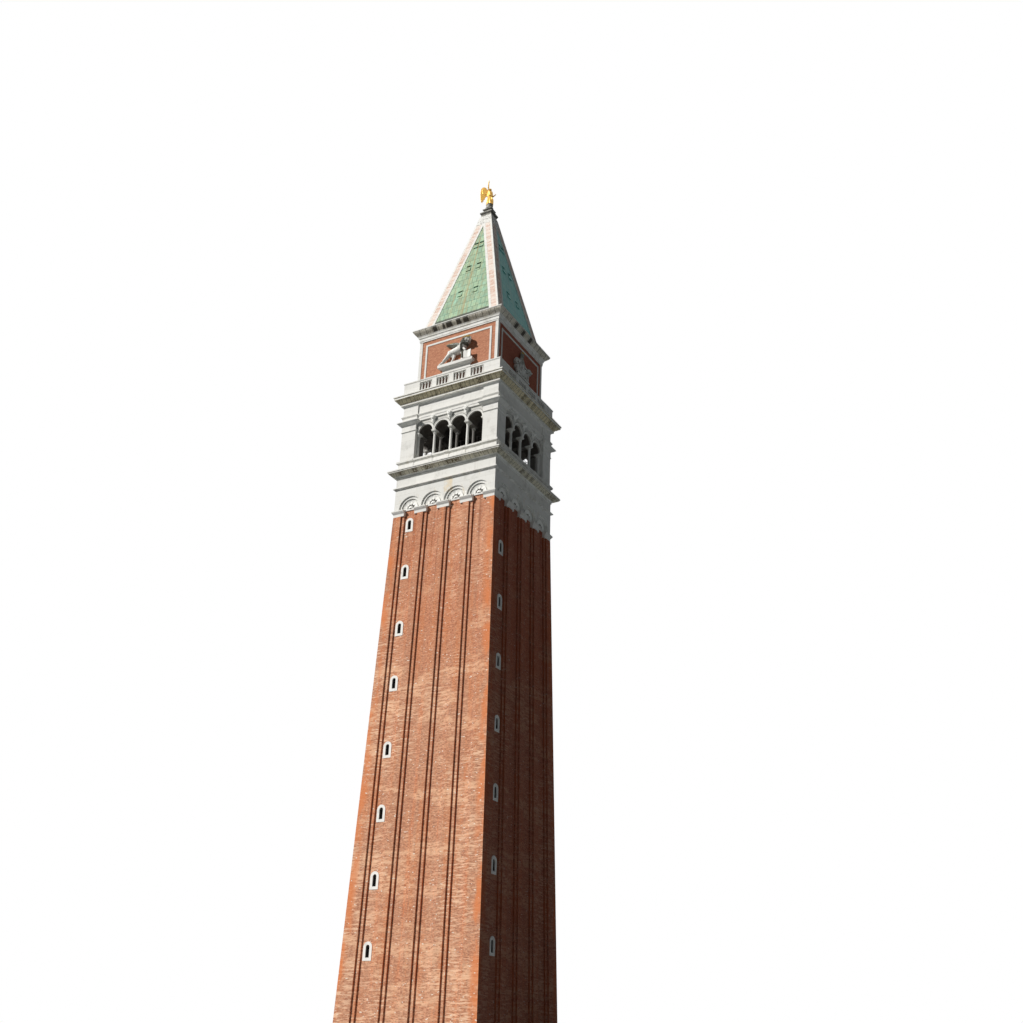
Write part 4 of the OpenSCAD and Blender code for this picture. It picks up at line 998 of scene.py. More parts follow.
def sheet_net(sheet, lap, seam, name):
    """Sheets of the front slope, cut from one plane, trimmed at the ribs and the vents, with folded seams"""
    slant = math.hypot(1.0, SPIRE_LEAN)
    wide = SPIRE_FOOT - RIB_WIDTH
    length = wide / SPIRE_LEAN * slant
    net = add_shape("plane", name, size=1.0, location=(0.0, 0.0, length / 2), rotation=(QUARTER, 0.0, 0.0))
    net.scale = (2 * wide, length, 1.0)
    settle(net)
    row = lap * slant

    def cut(test, place, across, **values):
        if choose(net, "FACE", test):
            bpy.ops.mesh.bisect(plane_co=place, plane_no=across, **values)

    for i in range(1, int(length / row) + 1):
        cut(lambda f: True, (0.0, 0.0, i * row), (0.0, 0.0, 1.0))
    for parity, shift in ((0, 0.5), (1, 0.0)):
        for j in range(-7, 8):
            x = (j + shift) * sheet
            cut(lambda f: int(f.calc_center_median().z / row) % 2 == parity, (x, 0.0, 0.0), (1.0, 0.0, 0.0))
    for hand in (-1.0, 1.0):
        lean = Vector((hand * length, 0.0, wide)).normalized()
        cut(lambda f: True, (hand * (wide - 0.001), 0.0, 0.0), lean, clear_outer=True)
    for rise, aside in VENTS:
        low = (rise - VENT_MARGIN) * slant
        high = (rise + VENT_HEIGHT + VENT_MARGIN) * slant
        for x in (-aside, aside):
            left = x - VENT_WIDTH / 2 - VENT_MARGIN
            right = x + VENT_WIDTH / 2 + VENT_MARGIN

            def near_vent(f):
                xs = [v.co.x for v in f.verts]
                zs = [v.co.z for v in f.verts]
                beside = min(xs) < right - SLIVER and max(xs) > left + SLIVER
                return beside and min(zs) < high - SLIVER and max(zs) > low + SLIVER

            for edge in (left, right):
                cut(near_vent, (edge, 0.0, 0.0), (1.0, 0.0, 0.0))
            for edge in (low, high):
                cut(near_vent, (0.0, 0.0, edge), (0.0, 0.0, 1.0))
            if choose(net, "FACE", near_vent):
                bpy.ops.mesh.delete(type="FACE")
    choose(net, "FACE", lambda f: True)
    bpy.ops.mesh.normals_make_consistent(inside=False)
    mesh = bmesh.from_edit_mesh(net.data)
    mesh.faces.ensure_lookup_table()
    if mesh.faces[0].normal.y > 0.0:
        bpy.ops.mesh.flip_normals()
    choose(net, "FACE", lambda f: f.calc_area() > SMALLEST_SHEET)
    bpy.ops.mesh.inset(thickness=seam, depth=SEAM_RISE, use_individual=True)
    close_edit()
    net.rotation_euler = (-math.atan(SPIRE_LEAN), 0.0, 0.0)
    net.location = (0.0, -SPIRE_FOOT - SHEET_STAND, SPIRE_FOOT_Z)
    settle(net)
    modify(net, "SOLIDIFY", thickness=SHEET_THICKNESS, offset=-1.0)
    return net


def lump(centre, along, size):
    """A rounded mass, its long way set in a direction"""
    ball = add_shape("ico_sphere", "lump", subdivisions=3, radius=1.0)
    turn = Vector(along).to_track_quat("Z", "Y").to_matrix().to_4x4()
    ball.matrix_world = Matrix.Translation(centre) @ turn @ Matrix.Diagonal(tuple(size) + (1.0,))
    return settle(ball)


def lumps(shapes, scale, face, foot):
    """Rounded masses of a relief, from rows of centre, long way and size, measured from its wall and foot"""
    masses = []
    for (x, y, z), along, size in shapes:
        place = (scale * x, scale * y - face, scale * z + foot)
        masses.append(lump(place, along, [scale * s for s in size]))
    return masses


def handed(rows, hand):
    """Rows of shapes that were drawn for the right hand, turned over where the hand is -1"""
    return [((hand * x, y, z), (hand * a, b, c), size) for (x, y, z), (a, b, c), size in rows]


def ring(count, centre, wide, high, lean, size):
    """Rows of shapes set round a centre, each of them pointing outwards"""
    rows = []
    for i in range(count):
        turn = 2 * math.pi * i / count
        out = (math.cos(turn), lean, math.sin(turn))
        rows.append(((centre[0] + wide * out[0], centre[1], centre[2] + high * out[2]), out, size))
    return rows


def disc(name, sides, radius, depth, rim, rise, place, both=True):
    """A cylinder with a step on both ends or on one, put in place by a matrix"""
    piece = add_shape("cylinder", name, vertices=sides, radius=radius, depth=depth)
    choose(piece, "FACE", lambda f: f.normal.z > 0.9 or both and f.normal.z < -0.9)
    bpy.ops.mesh.inset(thickness=rim, depth=rise)
    close_edit()
    piece.matrix_world = place
    return settle(piece)


def rough_block(name, keep):
    """A merged copy of a construction part, with only the points that pass a test"""
    block = bpy.data.objects.new(name + "_block", NODES[name].data.copy())
    bpy.context.scene.collection.objects.link(block)
    if choose(block, "VERT", lambda v: not keep(v.co)):
        bpy.ops.mesh.delete(type="VERT")
    close_edit()
    return outwards(block)


def fused(pieces, name, voxel):
    """Melts closed masses into one skin of even fineness"""
    skin = joined(pieces, name)
    modify(skin, "REMESH", mode="VOXEL", voxel_size=voxel)
    modify(skin, "SMOOTH", factor=0.5, iterations=3)
    return skin


def sliced(piece, place, across):
    """Cuts a closed mass flat and keeps what lies behind the cut"""
    choose(piece, "FACE", lambda f: True)
    bpy.ops.mesh.bisect(plane_co=place, plane_no=across, clear_outer=True, use_fill=True)
    close_edit()


def carve(skin, rule):
    """Moves each point along its normal by the depth that a rule gives, in millimetres"""
    moves = [(v, v.normal * rule(v.co) * 0.001) for v in skin.data.vertices]
    for v, move in moves:
        v.co += move
    skin.data.update()
    pick(skin)
    bpy.ops.object.shade_smooth()


def relief_skin(masses, name, voxel, foot, rule):
    """One carved skin of a relief, cut flat at the wall behind it and at its foot"""
    skin = fused(masses, name, voxel)
    sliced(skin, (0.0, -ATTIC_FACE, 0.0), (0.0, 1.0, 0.0))
    sliced(skin, (0.0, 0.0, foot), (0.0, 0.0, -1.0))
    carve(skin, rule)
    return skin


def near(place, centre, size):
    """Goes from 0 away from a centre to 1 on it"""
    gap = math.dist(place, centre) / size
    return math.exp(-gap * gap)


def locks(place, centre, count, twist):
    """Wavy hair that runs out from a centre: from -1 between the locks to 1 on them"""
    turn = math.atan2(place[2] - centre[2], place[0] - centre[0])
    wave = noise.noise(Vector(place) / 16.0)
    return math.sin(count * turn + twist * wave)


def feathers(along, across, pitch):
    """Feathers laid side by side, each with a quill and fine barbs"""
    vane = abs(math.sin(math.pi * across / pitch)) ** 0.5 - 1.0
    barb = 0.12 * math.sin(2 * math.pi * (along + abs(across % pitch - pitch / 2)) / 6.0)
    return vane + barb


def drawn(co, foot, scale):
    """A point of a front relief in the millimetres that it was drawn in"""
    return (co.x / scale, (co.y + ATTIC_FACE) / scale, (co.z - foot) / scale)


def lion_depth(co):
    """How far the lion's skin stands out: mane, feathers, muscles and face"""
    place = drawn(co, LION_FOOT, LION_SCALE)
    x, h = place[0], place[2]
    depth = 1.3 * noise.noise(Vector(place) / 17.0) + 0.5 * noise.noise(Vector(place) / 5.0)
    if x > 176 or (x > 100 and h < 96):
        return 0.1 * depth
    muzzle = (168, -66, 208)
    head = max(near((x, 0, h), (118, 0, 232), 62), near((x, 0, h), (88, 0, 176), 42))
    face = near(place, (156, -70, 218), 30)
    if head > 0.30 and face < 0.42:
        depth += 3.0 * locks(place, muzzle, 17, 5.0) * min(1.0, 2.2 * (head - 0.30))
    for eye in ((161, -62, 230), (148, -77, 230)):
        depth -= 3.6 * near(place, eye, 5.0)
    if face > 0.55 and abs(h - 201) < 2.4:
        depth -= 1.6
    if x < 58 and h > 166 and h + 0.56 * x > 158:
        along = -0.934 * x + 0.358 * h
        across = 0.358 * x + 0.934 * h
        depth += 2.4 * feathers(along, across, 14.0)
    return depth


def seated_depth(co):
    """How far the seated figure's skin stands out: robe folds, hair, face and the lions' manes"""
    place = drawn(co, SEAT_FOOT, SEAT_SCALE)
    x, y, h = place
    depth = 0.9 * noise.noise(Vector(place) / 15.0)
    if abs(x) < 50 and h < 250 and y < -30:
        sway = x + 5.0 * noise.noise(Vector((x, y, h)) / 40.0)
        fold = math.sin(2 * math.pi * sway / 11.0 + 0.02 * abs(x) * h / 10.0)
        depth += (2.2 if h < 100 else 1.3) * fold
    if h > 262 and h < 298:
        for eye in ((-7.5, -46, 283), (7.5, -46, 283)):
            depth -= 2.0 * near(place, eye, 3.2)
        if abs(h - 270.5) < 1.2 and abs(x) < 6:
            depth -= 0.9
        if abs(x) > 14:
            depth += 1.0 * math.sin(h * 0.9)
    if abs(x) > 96 and h > 100 and h < 185:
        centre = (math.copysign(136, x), 0, 140)
        if near(place, (math.copysign(136, x), -58, 138), 26) < 0.40:
            depth += 2.4 * locks(place, centre, 13, 4.0)
    return depth


def winged_depth(co):
    """How far the gilded skin stands out: robe folds, belt, hair, face and feathers"""
    turn = -FIGURE_TURN
    x = 1000 * (co.x * math.cos(turn) - co.y * math.sin(turn))
    y = 1000 * (co.x * math.sin(turn) + co.y * math.cos(turn))
    h = 1000 * (co.z - FIGURE_FOOT)
    place = (x, y, h)
    sweep = math.radians(45.0)
    out = abs(x) * math.cos(sweep) + (y - 8.0) * math.sin(sweep)
    thick = abs(-abs(x) * math.sin(sweep) + (y - 8.0) * math.cos(sweep))
    if out > 26 and thick < 12:
        along = 0.25 * out - 0.97 * h
        across = 0.97 * out + 0.25 * h
        return 1.3 * feathers(along, across, 11.0 if h < 165 else 8.0)
    if h > 222:
        depth = 0.0
        for eye in ((-5.5, -15.5, 244), (5.5, -15.5, 244)):
            depth -= 1.6 * near(place, eye, 2.4)
        if y > -6 or h > 252:
            depth += 1.0 * math.sin(1.1 * h + 0.4 * x)
        return depth
    around_axis = math.atan2(y, x)
    swing = 2.0 * noise.noise(Vector((x, y, h * 0.4)) / 30.0)
    fold = math.sin(11 * around_axis + swing + 0.012 * h)
    if h < 120:
        return 3.0 * fold * (1.15 - h / 160.0)
    if h < 132:
        return -1.6 + 0.6 * fold
    return 1.4 * math.sin(8 * around_axis + swing + 0.05 * h)


def boss_depth(co):
    """A drilled eye in the head and a rib down the middle of the drop"""
    over = co.z - BOSS_CENTRE
    gap = math.hypot(co.x, over)
    if gap < 0.019 and co.y < -0.585:
        return -3.2 * math.exp(-((gap / 0.0055) ** 2)) + 0.5 * math.cos(gap * 900.0)
    if over < -0.024:
        return 0.9 * math.cos(co.x * 900.0)
    return 0.0


class TOWER_OT_brickwork(bpy.types.Operator):
    """Finish the brick shaft and the brick attic"""

    bl_idname = "tower.brickwork"
    bl_label = "Brickwork"

    def execute(self, context):
        settings = context.scene.tower_brick
        dress(shaft_finish("shaft_brick", settings), *around("wall"))
        dress(attic_finish("attic_brick", settings), *around("attic_wall"))
        return {"FINISHED"}


class TOWER_OT_stonework(bpy.types.Operator):
    """Finish the stone of the base, the arcades, the belfry, the cornices and the trim"""

    bl_idname = "tower.stonework"
    bl_label = "Stonework"

    def execute(self, context):
        settings = context.scene.tower_stone
        trim = ["attic_trim", "balustrade_pedestals", "balustrade_rails", "balusters"]
        belfry = dict(dirt=0.42, moss_and_shade=0.42, streaks=0.5, ochre=0.4, inside=0.430)
        piers = dict(dirt=0.38, moss_and_shade=0.14, streaks=0.5, ochre=0.3, inside=0.475, indoor_shade=0.80)
        frieze = dict(dirt=0.40, moss_and_shade=0.12, joints=0.4, streaks=0.5, ochre=0.3, inside=0.400)
        columns = dict(dirt=0.40, moss_and_shade=0.60, joints=0.0, streaks=0.3, ochre=0.3, inside=0.472, indoor_shade=0.80)
        floors = dict(dirt=0.50, moss_and_shade=0.10, joints=0.0, streaks=0.5, inside=0.520)
        for name, values, parts in (
            ("arcade_stone", dict(dirt=0.30, moss_and_shade=0.12, ochre=1.0), around("blind_arcade")),
            ("belfry_stone", belfry, ["belfry_parapet", "string_course"]),
            ("pier_stone", piers, ["corner_piers"]),
            ("entablature_stone", frieze, ["entablature"]),
            ("column_stone", columns, ["belfry_columns"]),
            # Floors: grey dirt, with painted shade indoors
            ("floor_dirt_and_shade", floors, ["belfry_floor", "terrace_slab"]),
            ("trim_stone", dict(dirt=0.35, moss_and_shade=0.30), trim),
            ("ledge_stone", dict(dirt=0.20, moss_and_shade=0.05, joints=0.0, streaks=0.3), ["relief_ledges"]),
            ("base_stone", dict(dirt=0.80, moss_and_shade=0.3, joints=1.0), ["base_steps", "base_plinth"]),
        ):
            dress(stone_recipe(name, settings, **values).finish(STONE_ROUGHNESS), *parts)
        for part, values in CORNICES.items():
            dress(cornice_finish(part + "_stone", settings, **values), part)
        dress(arch_finish("arch_stone", settings), *around("arches"))
        dress(window_finish("window_stone", settings), "window_surrounds")
        dress(dark_stone_and_shade_finish("cap_stone", settings, CAP_DARK), "spire_cap", "turning_drum")
        dress(rib_finish("rib_stone", settings), "spire_ribs")
        return {"FINISHED"}


class TOWER_OT_sheeting(bpy.types.Operator):
    """Lay the copper sheets of the spire with their seams"""

    bl_idname = "tower.sheeting"
    bl_label = "Copper sheeting"

    def execute(self, context):
        settings = context.scene.tower_copper
        sheeting = copper_finish("copper_sheeting", settings)
        dress(sheeting, *around("spire_slope"))
        nets = [sheet_net(settings.sheet, settings.lap, settings.seam, "front_sheets")]
        for i, name in enumerate(around("sheets")[1:]):
            net = copied(nets[0], Matrix.Rotation(QUARTER * (i + 1), 4, "Z"))
            net.name = name
            nets.append(net)
        for net in nets:
            seat(net, "tower", sheeting)
        return {"FINISHED"}


class TOWER_OT_inlay(bpy.types.Operator):
    """Lay the inlaid bricks in the channels of the spire ribs"""

    bl_idname = "tower.inlay"
    bl_label = "Rib inlay"

    def execute(self, context):
        settings = context.scene.tower_brick
        course = settings.inlay
        height = course - INLAY_JOINT
        width = INLAY_FAR - INLAY_NEAR - INLAY_PLAY
        low = INLAY_FOOT + (course - height) / 2
        half = spire_face(low - SPIRE_FOOT_Z)
        centre = half - (INLAY_NEAR + INLAY_FAR) / 2
        back = half + RIB_STAND - INLAY_BACK
        front = half + RIB_STAND - INLAY_FRONT
        middle = (centre, -(back + front) / 2, low + height / 2)
        brick = add_shape("cube", "inlay", size=1.0, location=middle)
        brick.scale = (width, front - back, height)
        settle(brick)
        choose(brick, "FACE", lambda f: f.normal.y < -0.9)
        bpy.ops.mesh.inset(thickness=INLAY_EDGE, depth=0.0)
        choose(brick, "FACE", lambda f: f.normal.y > 0.9)
        bpy.ops.mesh.delete(type="FACE")
        close_edit()
        for v in brick.data.vertices:
            inner = abs(v.co.x - centre) < width / 2 - CLOSE
            if v.co.y < -front + CLOSE and not inner:
                v.co.y += INLAY_WEAR
            up = v.co.z - low
            v.co.x -= SPIRE_LEAN * up
            v.co.y += SPIRE_LEAN * up
        modify(
            brick,
            "ARRAY",
            count=int((INLAY_TOP - INLAY_FOOT) / course),
            use_relative_offset=False,
            use_constant_offset=True,
            constant_offset_displace=(-SPIRE_LEAN * course, SPIRE_LEAN * course, course),
        )
        other = copied(brick, Matrix.Scale(-1.0, 4, (1.0, 0.0, 0.0)))
        choose(other, "FACE", lambda f: True)
        bpy.ops.mesh.flip_normals()
        close_edit()
        bricks = on_each_side([brick, other], "inlaid_bricks")
        seat(bricks, "tower", inlay_finish("inlaid_brick", settings))
        return {"FINISHED"}


class TOWER_OT_capitals(bpy.types.Operator):
    """Carve the leaves round the capitals of the belfry columns"""

    bl_idname = "tower.capitals"
    bl_label = "Capital leaves"

    def execute(self, context):
        leaf = add_shape("grid", "leaf", x_subdivisions=2, y_subdivisions=4, size=1.0)
        for v in leaf.data.vertices:
            t = v.co.y + 0.5
            side = v.co.x * 2.0
            width = LEAF_WIDTH * (0.75 + 0.6 * math.sin(math.pi * (0.15 + 0.8 * t)))
            out = LEAF_FOOT + LEAF_CURL * t ** 2.2 - LEAF_CUP * side * side
            rise = LEAF_HEIGHT * math.sin(math.pi * 0.62 * t)
            v.co = Vector((side * width / 2, -out, CAPITAL_FOOT + rise))
        modify(leaf, "SOLIDIFY", thickness=LEAF_THICKNESS, offset=0.0)
        leaves = [leaf]
        for i in range(1, 8):
            leaves.append(copied(leaf, Matrix.Rotation(math.pi * i / 4, 4, "Z")))
        places = [(x, row) for row in COLUMN_ROWS for x in COLUMN_PLACES[1:-1]]
        places += [(x, COLUMN_ROWS[0]) for x in (COLUMN_PLACES[0], COLUMN_PLACES[-1])]
        collars = in_places(outwards(joined(leaves, "collar")), places)
        capitals = on_each_side(collars, "capital_leaves")
        stone = stone_recipe("leaf_stone", context.scene.tower_stone, dirt=0.5, moss_and_shade=0.25, joints=0.0)
        seat(capitals, "tower", stone.finish(STONE_ROUGHNESS))
        return {"FINISHED"}


class TOWER_OT_shells(bpy.types.Operator):
    """Carve the fluted shells in the niches of the blind arcade"""

    bl_idname = "tower.shells"
    bl_label = "Fluted shells"

    def execute(self, context):
        shell = add_shape("grid", "shell", x_subdivisions=56, y_subdivisions=10, size=1.0)
        for v in shell.data.vertices:
            turn = math.pi * (0.5 - v.co.x)
            out = v.co.y + 0.5
            radius = SHELL_HUB + (SHELL_RIM - SHELL_HUB) * out
            back = -ARCADE_FACE + NICHE_DEPTH + self.depth(turn, out, radius)
            v.co = Vector((radius * math.cos(turn), back, ARCADE_SPRING + 0.0005 + radius * math.sin(turn)))
        modify(shell, "SOLIDIFY", thickness=SHELL_THICKNESS, offset=1.0)
        row = in_places(outwards(shell), [(ARCADE_PITCH * (i - 1.5), 0.0) for i in range(4)])
        shells = on_each_side(row, "fluted_shells")
        seat(shells, "tower", shell_finish("shell_stone", context.scene.tower_stone))
        return {"FINISHED"}

    def depth(self, turn, out, radius):
        """A bowl with nine flutes round a raised hub"""
        bowl = SHELL_DEPTH * math.sin(math.pi * min(1.0, 0.10 + 0.90 * out) ** 1.6)
        hub = HUB_RISE * math.exp(-((radius / HUB_REACH) ** 2))
        flute = 0.0
        if 0.0 < out < 1.0:
            flute = FLUTE_DEPTH * abs(math.sin(SHELL_FLUTES / 2 * turn)) * math.sin(math.pi * out) ** 0.7
        return bowl + flute - hub


class TOWER_OT_bosses(bpy.types.Operator):
    """Carve the bosses between the belfry arches, each with a drop that runs down to the capital"""

    bl_idname = "tower.bosses"
    bl_label = "Carved bosses"

    def execute(self, context):
        settings = context.scene.tower_stone
        shapes = [
            ((0.0, -0.576, 0.0), (0, 0, 1), (0.0200, 0.0200, 0.0200)),
            ((0.0, -0.566, -0.036), (0, 1, -6), (0.0150, 0.0130, 0.0220)),
            ((0.0, -0.562, -0.064), (0, 1, -8), (0.0090, 0.0090, 0.0190)),
            ((-0.017, -0.560, -0.044), (2, 0, -6), (0.0070, 0.0080, 0.0170)),
            ((0.017, -0.560, -0.044), (-2, 0, -6), (0.0070, 0.0080, 0.0170)),
        ]
        shapes += ring(10, (0.0, -0.567, 0.0), 0.0215, 0.0215, 0.0, (0.0072, 0.0155, 0.0115))
        masses = lumps(shapes, 1.0, 0.0, BOSS_CENTRE)
        place = Matrix.Translation((0.0, -BOSS_FRONT, BOSS_CENTRE)) @ Matrix.Rotation(QUARTER, 4, "X")
        masses.append(disc("face", 32, 0.0215, 0.020, 0.004, 0.0015, place, False))
        boss = fused(masses, "boss", settings.voxel)
        sliced(boss, (0.0, -BOSS_BACK, 0.0), (0.0, 1.0, 0.0))
        carve(boss, boss_depth)
        bosses = on_each_side(in_places(boss, [(x, 0.0) for x in COLUMN_PLACES[1:-1]]), "carved_bosses")
        seat(bosses, "tower", boss_finish("boss_stone", settings))
        return {"FINISHED"}


class TOWER_OT_bars(bpy.types.Operator):
    """Set the bars and the tie rods in the belfry openings"""

    bl_idname = "tower.bars"
    bl_label = "Belfry bars"

    def execute(self, context):
        settings = context.scene.tower_metal
        radius = settings.bar
        row = COLUMN_ROWS[1]
        end = COLUMN_PLACES[-1] + BAR_BITE
        pieces = []
        for left in COLUMN_PLACES[:-1]:
            for j in (1, 2, 3):
                x = left + BAR_PITCH * j
                pieces.append(self.rod(radius, (x, row, BARS_FROM), (x, row, BARS_TO)))
        for z in CROSS_BARS:
            pieces.append(self.rod(radius, (-end, row, z), (end, row, z)))
        tie_row = row + TIE_BEHIND
        pieces.append(self.rod(radius * 2.0, (-end, tie_row, TIE_HEIGHT), (end, tie_row, TIE_HEIGHT)))
        bars = on_each_side(pieces, "belfry_bars")
        # The bars are made near black as painted shade inside the belfry, with a bloom of rust
        dark = scaled(settings.steel, 0.14)
        paint = bloomed_recipe("shaded_bars", dark, BAR_RUST, 120.0, (0.48, 0.66), 0.0003)
        seat(bars, "tower", paint.finish(0.65))
        return {"FINISHED"}

    def rod(self, radius, start, end):
        """One six-sided rod with a welded collar at each end"""
        run = Vector(end) - Vector(start)
        turn = run.to_track_quat("Z", "Y").to_matrix().to_4x4()
        place = Matrix.Translation((Vector(start) + Vector(end)) / 2) @ turn
        return disc("rod", 6, radius, run.length, radius * 0.3, radius * 0.3, place)


class TOWER_OT_lions(bpy.types.Operator):
    """Carve the winged lions of the front and the back"""

    bl_idname = "tower.lions"
    bl_label = "Winged lions"

    def execute(self, context):
        settings = context.scene.tower_stone
        masses = [rough_block("lion_reliefs", lambda co: co.y < 0.0)]
        shapes = [
            ((-72, -28, 120), (-10, 0, 20), (34, 26, 42)),
            ((-106, -36, 82), (-46, -6, -62), (23, 19, 44)),
            ((-134, -38, 52), (-46, 0, -50), (19, 17, 38)),
            ((-162, -38, 24), (-40, 0, -30), (17, 15, 28)),
            ((-184, -42, 11), (-20, 0, -2), (12, 12, 20)),
            ((-14, -50, 200), (93, 0, -36), (22, 13, 62)),
            ((-62, -42, 220), (93, 0, -36), (17, 10, 48)),
            ((36, -46, 150), (6, 0, 20), (27, 21, 36)),
            ((84, -44, 184), (24, -6, 60), (32, 26, 44)),
            ((-48, -24, 96), (14, 0, -50), (17, 15, 40)),
            ((78, -33, 96), (8, -4, -60), (15, 14, 40)),
            ((104, -48, 126), (34, -14, -40), (13, 12, 30)),
            ((122, -56, 104), (12, -2, -2), (9, 8, 15)),
            ((168, -66, 209), (16, -12, -6), (12, 12, 15)),
            ((180, -76, 211), (16, -12, -3), (7, 5, 6)),
            ((167, -66, 197), (16, -12, -3), (8, 6, 12)),
            ((156, -70, 238), (12, 16, 0), (6, 5, 16)),
            ((161, -64, 230), (0, 0, 1), (3.4, 3.4, 3.4)),
            ((149, -78, 230), (0, 0, 1), (3.4, 3.4, 3.4)),
            ((110, -62, 268), (-4, 0, 10), (7, 5, 10)),
            ((146, -40, 266), (6, 0, 10), (7, 5, 10)),
            ((-136, -18, 74), (-4, 0, -14), (9, 9, 16)),
        ]
        for toe in (-6, 0, 6):
            shapes.append(((-192, -38 + toe, 8), (-10, 0, -1), (4.6, 4.6, 9)))
            shapes.append(((-46, -28 + toe, 8), (10, 0, -1), (4.2, 4.2, 8)))
            shapes.append(((84, -34 + toe, 8), (10, 0, -1), (4.8, 4.8, 9)))
            shapes.append(((132, -58 + toe, 102), (10, -2, -3), (4.2, 4.2, 8)))
        shapes += ring(16, (134, -54, 226), 40, 38, 0.35, (11, 13, 19))
        masses += lumps(shapes, LION_SCALE, ATTIC_FACE, LION_FOOT)
        middle = Matrix.Translation((NIMBUS_ASIDE, -ATTIC_FACE - NIMBUS_OUT, LION_FOOT + NIMBUS_RISE))
        upright = middle @ Matrix.Rotation(QUARTER, 4, "X")
        nimbus = disc("nimbus", 48, NIMBUS_RADIUS, 0.006, 0.005, 0.002, upright)
        lion = relief_skin(masses + [nimbus], "lion", settings.voxel, LION_FOOT, lion_depth)
        lions = with_twin(lion, "winged_lions")
        seat(lions, "tower", lion_finish("lion_stone", settings))
        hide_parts("lion_reliefs")
        return {"FINISHED"}


class TOWER_OT_seated(bpy.types.Operator):
    """Carve the crowned figures of the two sides, each between two resting lions"""

    bl_idname = "tower.seated"
    bl_label = "Seated figures"

    def execute(self, context):
        settings = context.scene.tower_stone
        block = rough_block("seated_figures", lambda co: co.x > 0.0)
        block.matrix_world = Matrix.Rotation(-QUARTER, 4, "Z")
        masses = [settle(block)]
        shapes = [
            ((0, -48, 280), (0, 0, 1), (3, 4, 6)),
            ((0, -46, 290), (1, 0, 0), (2.5, 3, 11)),
            ((0, -43, 266), (0, 0, 1), (6, 5, 4)),
            ((0, -50, 52), (0, 0, 1), (20, 11, 52)),
            ((0, -50, 10), (1, 0, 0), (9, 17, 46)),
            ((0, -40, 196), (1, 0, 0), (12, 11, 22)),
            ((0, -16, 240), (0, 0, 1), (24, 14, 40)),
        ]
        twice = [
            ((19, -26, 272), (0, 0, 1), (7, 10, 18)),
            ((26, -24, 214), (8, 0, -10), (13, 12, 17)),
            ((24, -52, 94), (0, 0, 1), (19, 17, 17)),
            ((22, -60, 8), (0, -10, 0), (8, 7, 14)),
            ((7.5, -45, 283), (0, 0, 1), (2.4, 2.4, 2.2)),
            ((144, -66, 132), (6, -10, -4), (10, 9, 13)),
            ((148, -74, 134), (6, -10, -2), (5, 4, 5)),
            ((96, -30, 62), (30, 0, 40), (26, 22, 46)),
        ]
        for hand in (-1, 1):
            shapes += handed(twice, hand) + ring(12, (hand * 132, -44, 142), 30, 29, 0.3, (8, 10, 13))
            for toe in (-5, 0, 5):
                shapes.append(((hand * 124 + toe, -46, 8), (0, -10, 0), (4.5, 4.5, 8)))
        masses += lumps(shapes, SEAT_SCALE, ATTIC_FACE, SEAT_FOOT)
        for i in range(7):
            turn = math.pi * (i + 0.5) / 7
            out = ATTIC_FACE + SEAT_SCALE * (26 + 22 * math.sin(turn))
            place = (SEAT_SCALE * 24 * math.cos(turn), -out, CROWN_HEIGHT)
            masses.append(lump(place, (0, 0, 1), (0.0034, 0.0034, 0.0050)))
        figure = relief_skin(masses, "seated", settings.voxel, SEAT_FOOT, seated_depth)
        figure.matrix_world = Matrix.Rotation(QUARTER, 4, "Z")
        figures = with_twin(settle(figure), "crowned_figures")
        stone = figure_finish("figure_stone", settings, *FIGURE_DARK, CROWN_RIM)
        seat(figures, "tower", stone)
        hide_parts("seated_figures")
        return {"FINISHED"}


class TOWER_OT_angel(bpy.types.Operator):
    """Model the gilded winged figure that turns with the wind"""

    bl_idname = "tower.angel"
    bl_label = "Gilded winged figure"

    def execute(self, context):
        foot = (0.0, 0.0, FIGURE_FOOT)
        facing = Matrix.Translation(foot) @ Matrix.Rotation(FIGURE_TURN, 4, "Z")
        masses = [rough_block("winged_figure", lambda co: True)]
        shapes = [
            ((0, 3, 246), (0, 0, 1), (15.5, 14.5, 14)),
            ((0, -16.5, 241), (0, 0, 1), (1.8, 3.0, 4.0)),
            ((0, -14.5, 247.5), (1, 0, 0), (1.8, 2.6, 7.5)),
            ((0, -13, 231.5), (0, 0, 1), (4, 4, 3.4)),
            ((0, -22, 178), (1, 0, 0), (13, 10, 22)),
            ((0, -34, 60), (0, 0, 1), (12, 12, 56)),
            ((-12, -30, 44), (0, 0, 1), (10, 12, 44)),
            ((14, -32, 48), (0, 0, 1), (10, 12, 46)),
            ((-44, -18, 322), (-4, -2, 14), (5, 4, 8)),
            ((52, -42, 178), (4, -6, 10), (4, 4.5, 8)),
            ((0, 0, 126), (0, 0, 1), (33, 33, 5)),
        ]
        twice = [
            ((12.5, 0, 238), (0, 0, 1), (6, 8, 13)),
            ((5.5, -14, 244), (0, 0, 1), (1.8, 1.6, 1.4)),
            ((22, 0, 200), (6, 0, -8), (11, 10, 13)),
            ((12, -40, 4), (0, -10, 0), (6, 5, 10)),
        ]
        for hand in (-1, 1):
            shapes += handed(twice, hand)
        for centre, along, size in shapes:
            place = facing @ (Vector(centre) * 0.001)
            masses.append(lump(place, facing.to_3x3() @ Vector(along), [0.001 * s for s in size]))
        figure = fused(masses, "gilded_figure", FIGURE_VOXEL)
        sliced(figure, foot, (0.0, 0.0, -1.0))
        carve(figure, winged_depth)
        seat(figure, "vane", gilding_finish("gilding", context.scene.tower_metal))
        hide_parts("winged_figure")
        return {"FINISHED"}


class TOWER_OT_metalwork(bpy.types.Operator):
    """Finish the pin that the figure turns on"""

    bl_idname = "tower.metalwork"
    bl_label = "Steel pin"

    def execute(self, context):
        steel = context.scene.tower_metal.steel
        pin = bloomed_recipe("dull_steel", steel, STEEL_BLOOM, 90.0, (0.45, 0.70), 0.0004)
        dress(pin.finish(0.50, 0.6, 0.5), "pivot_pin")
        return {"FINISHED"}


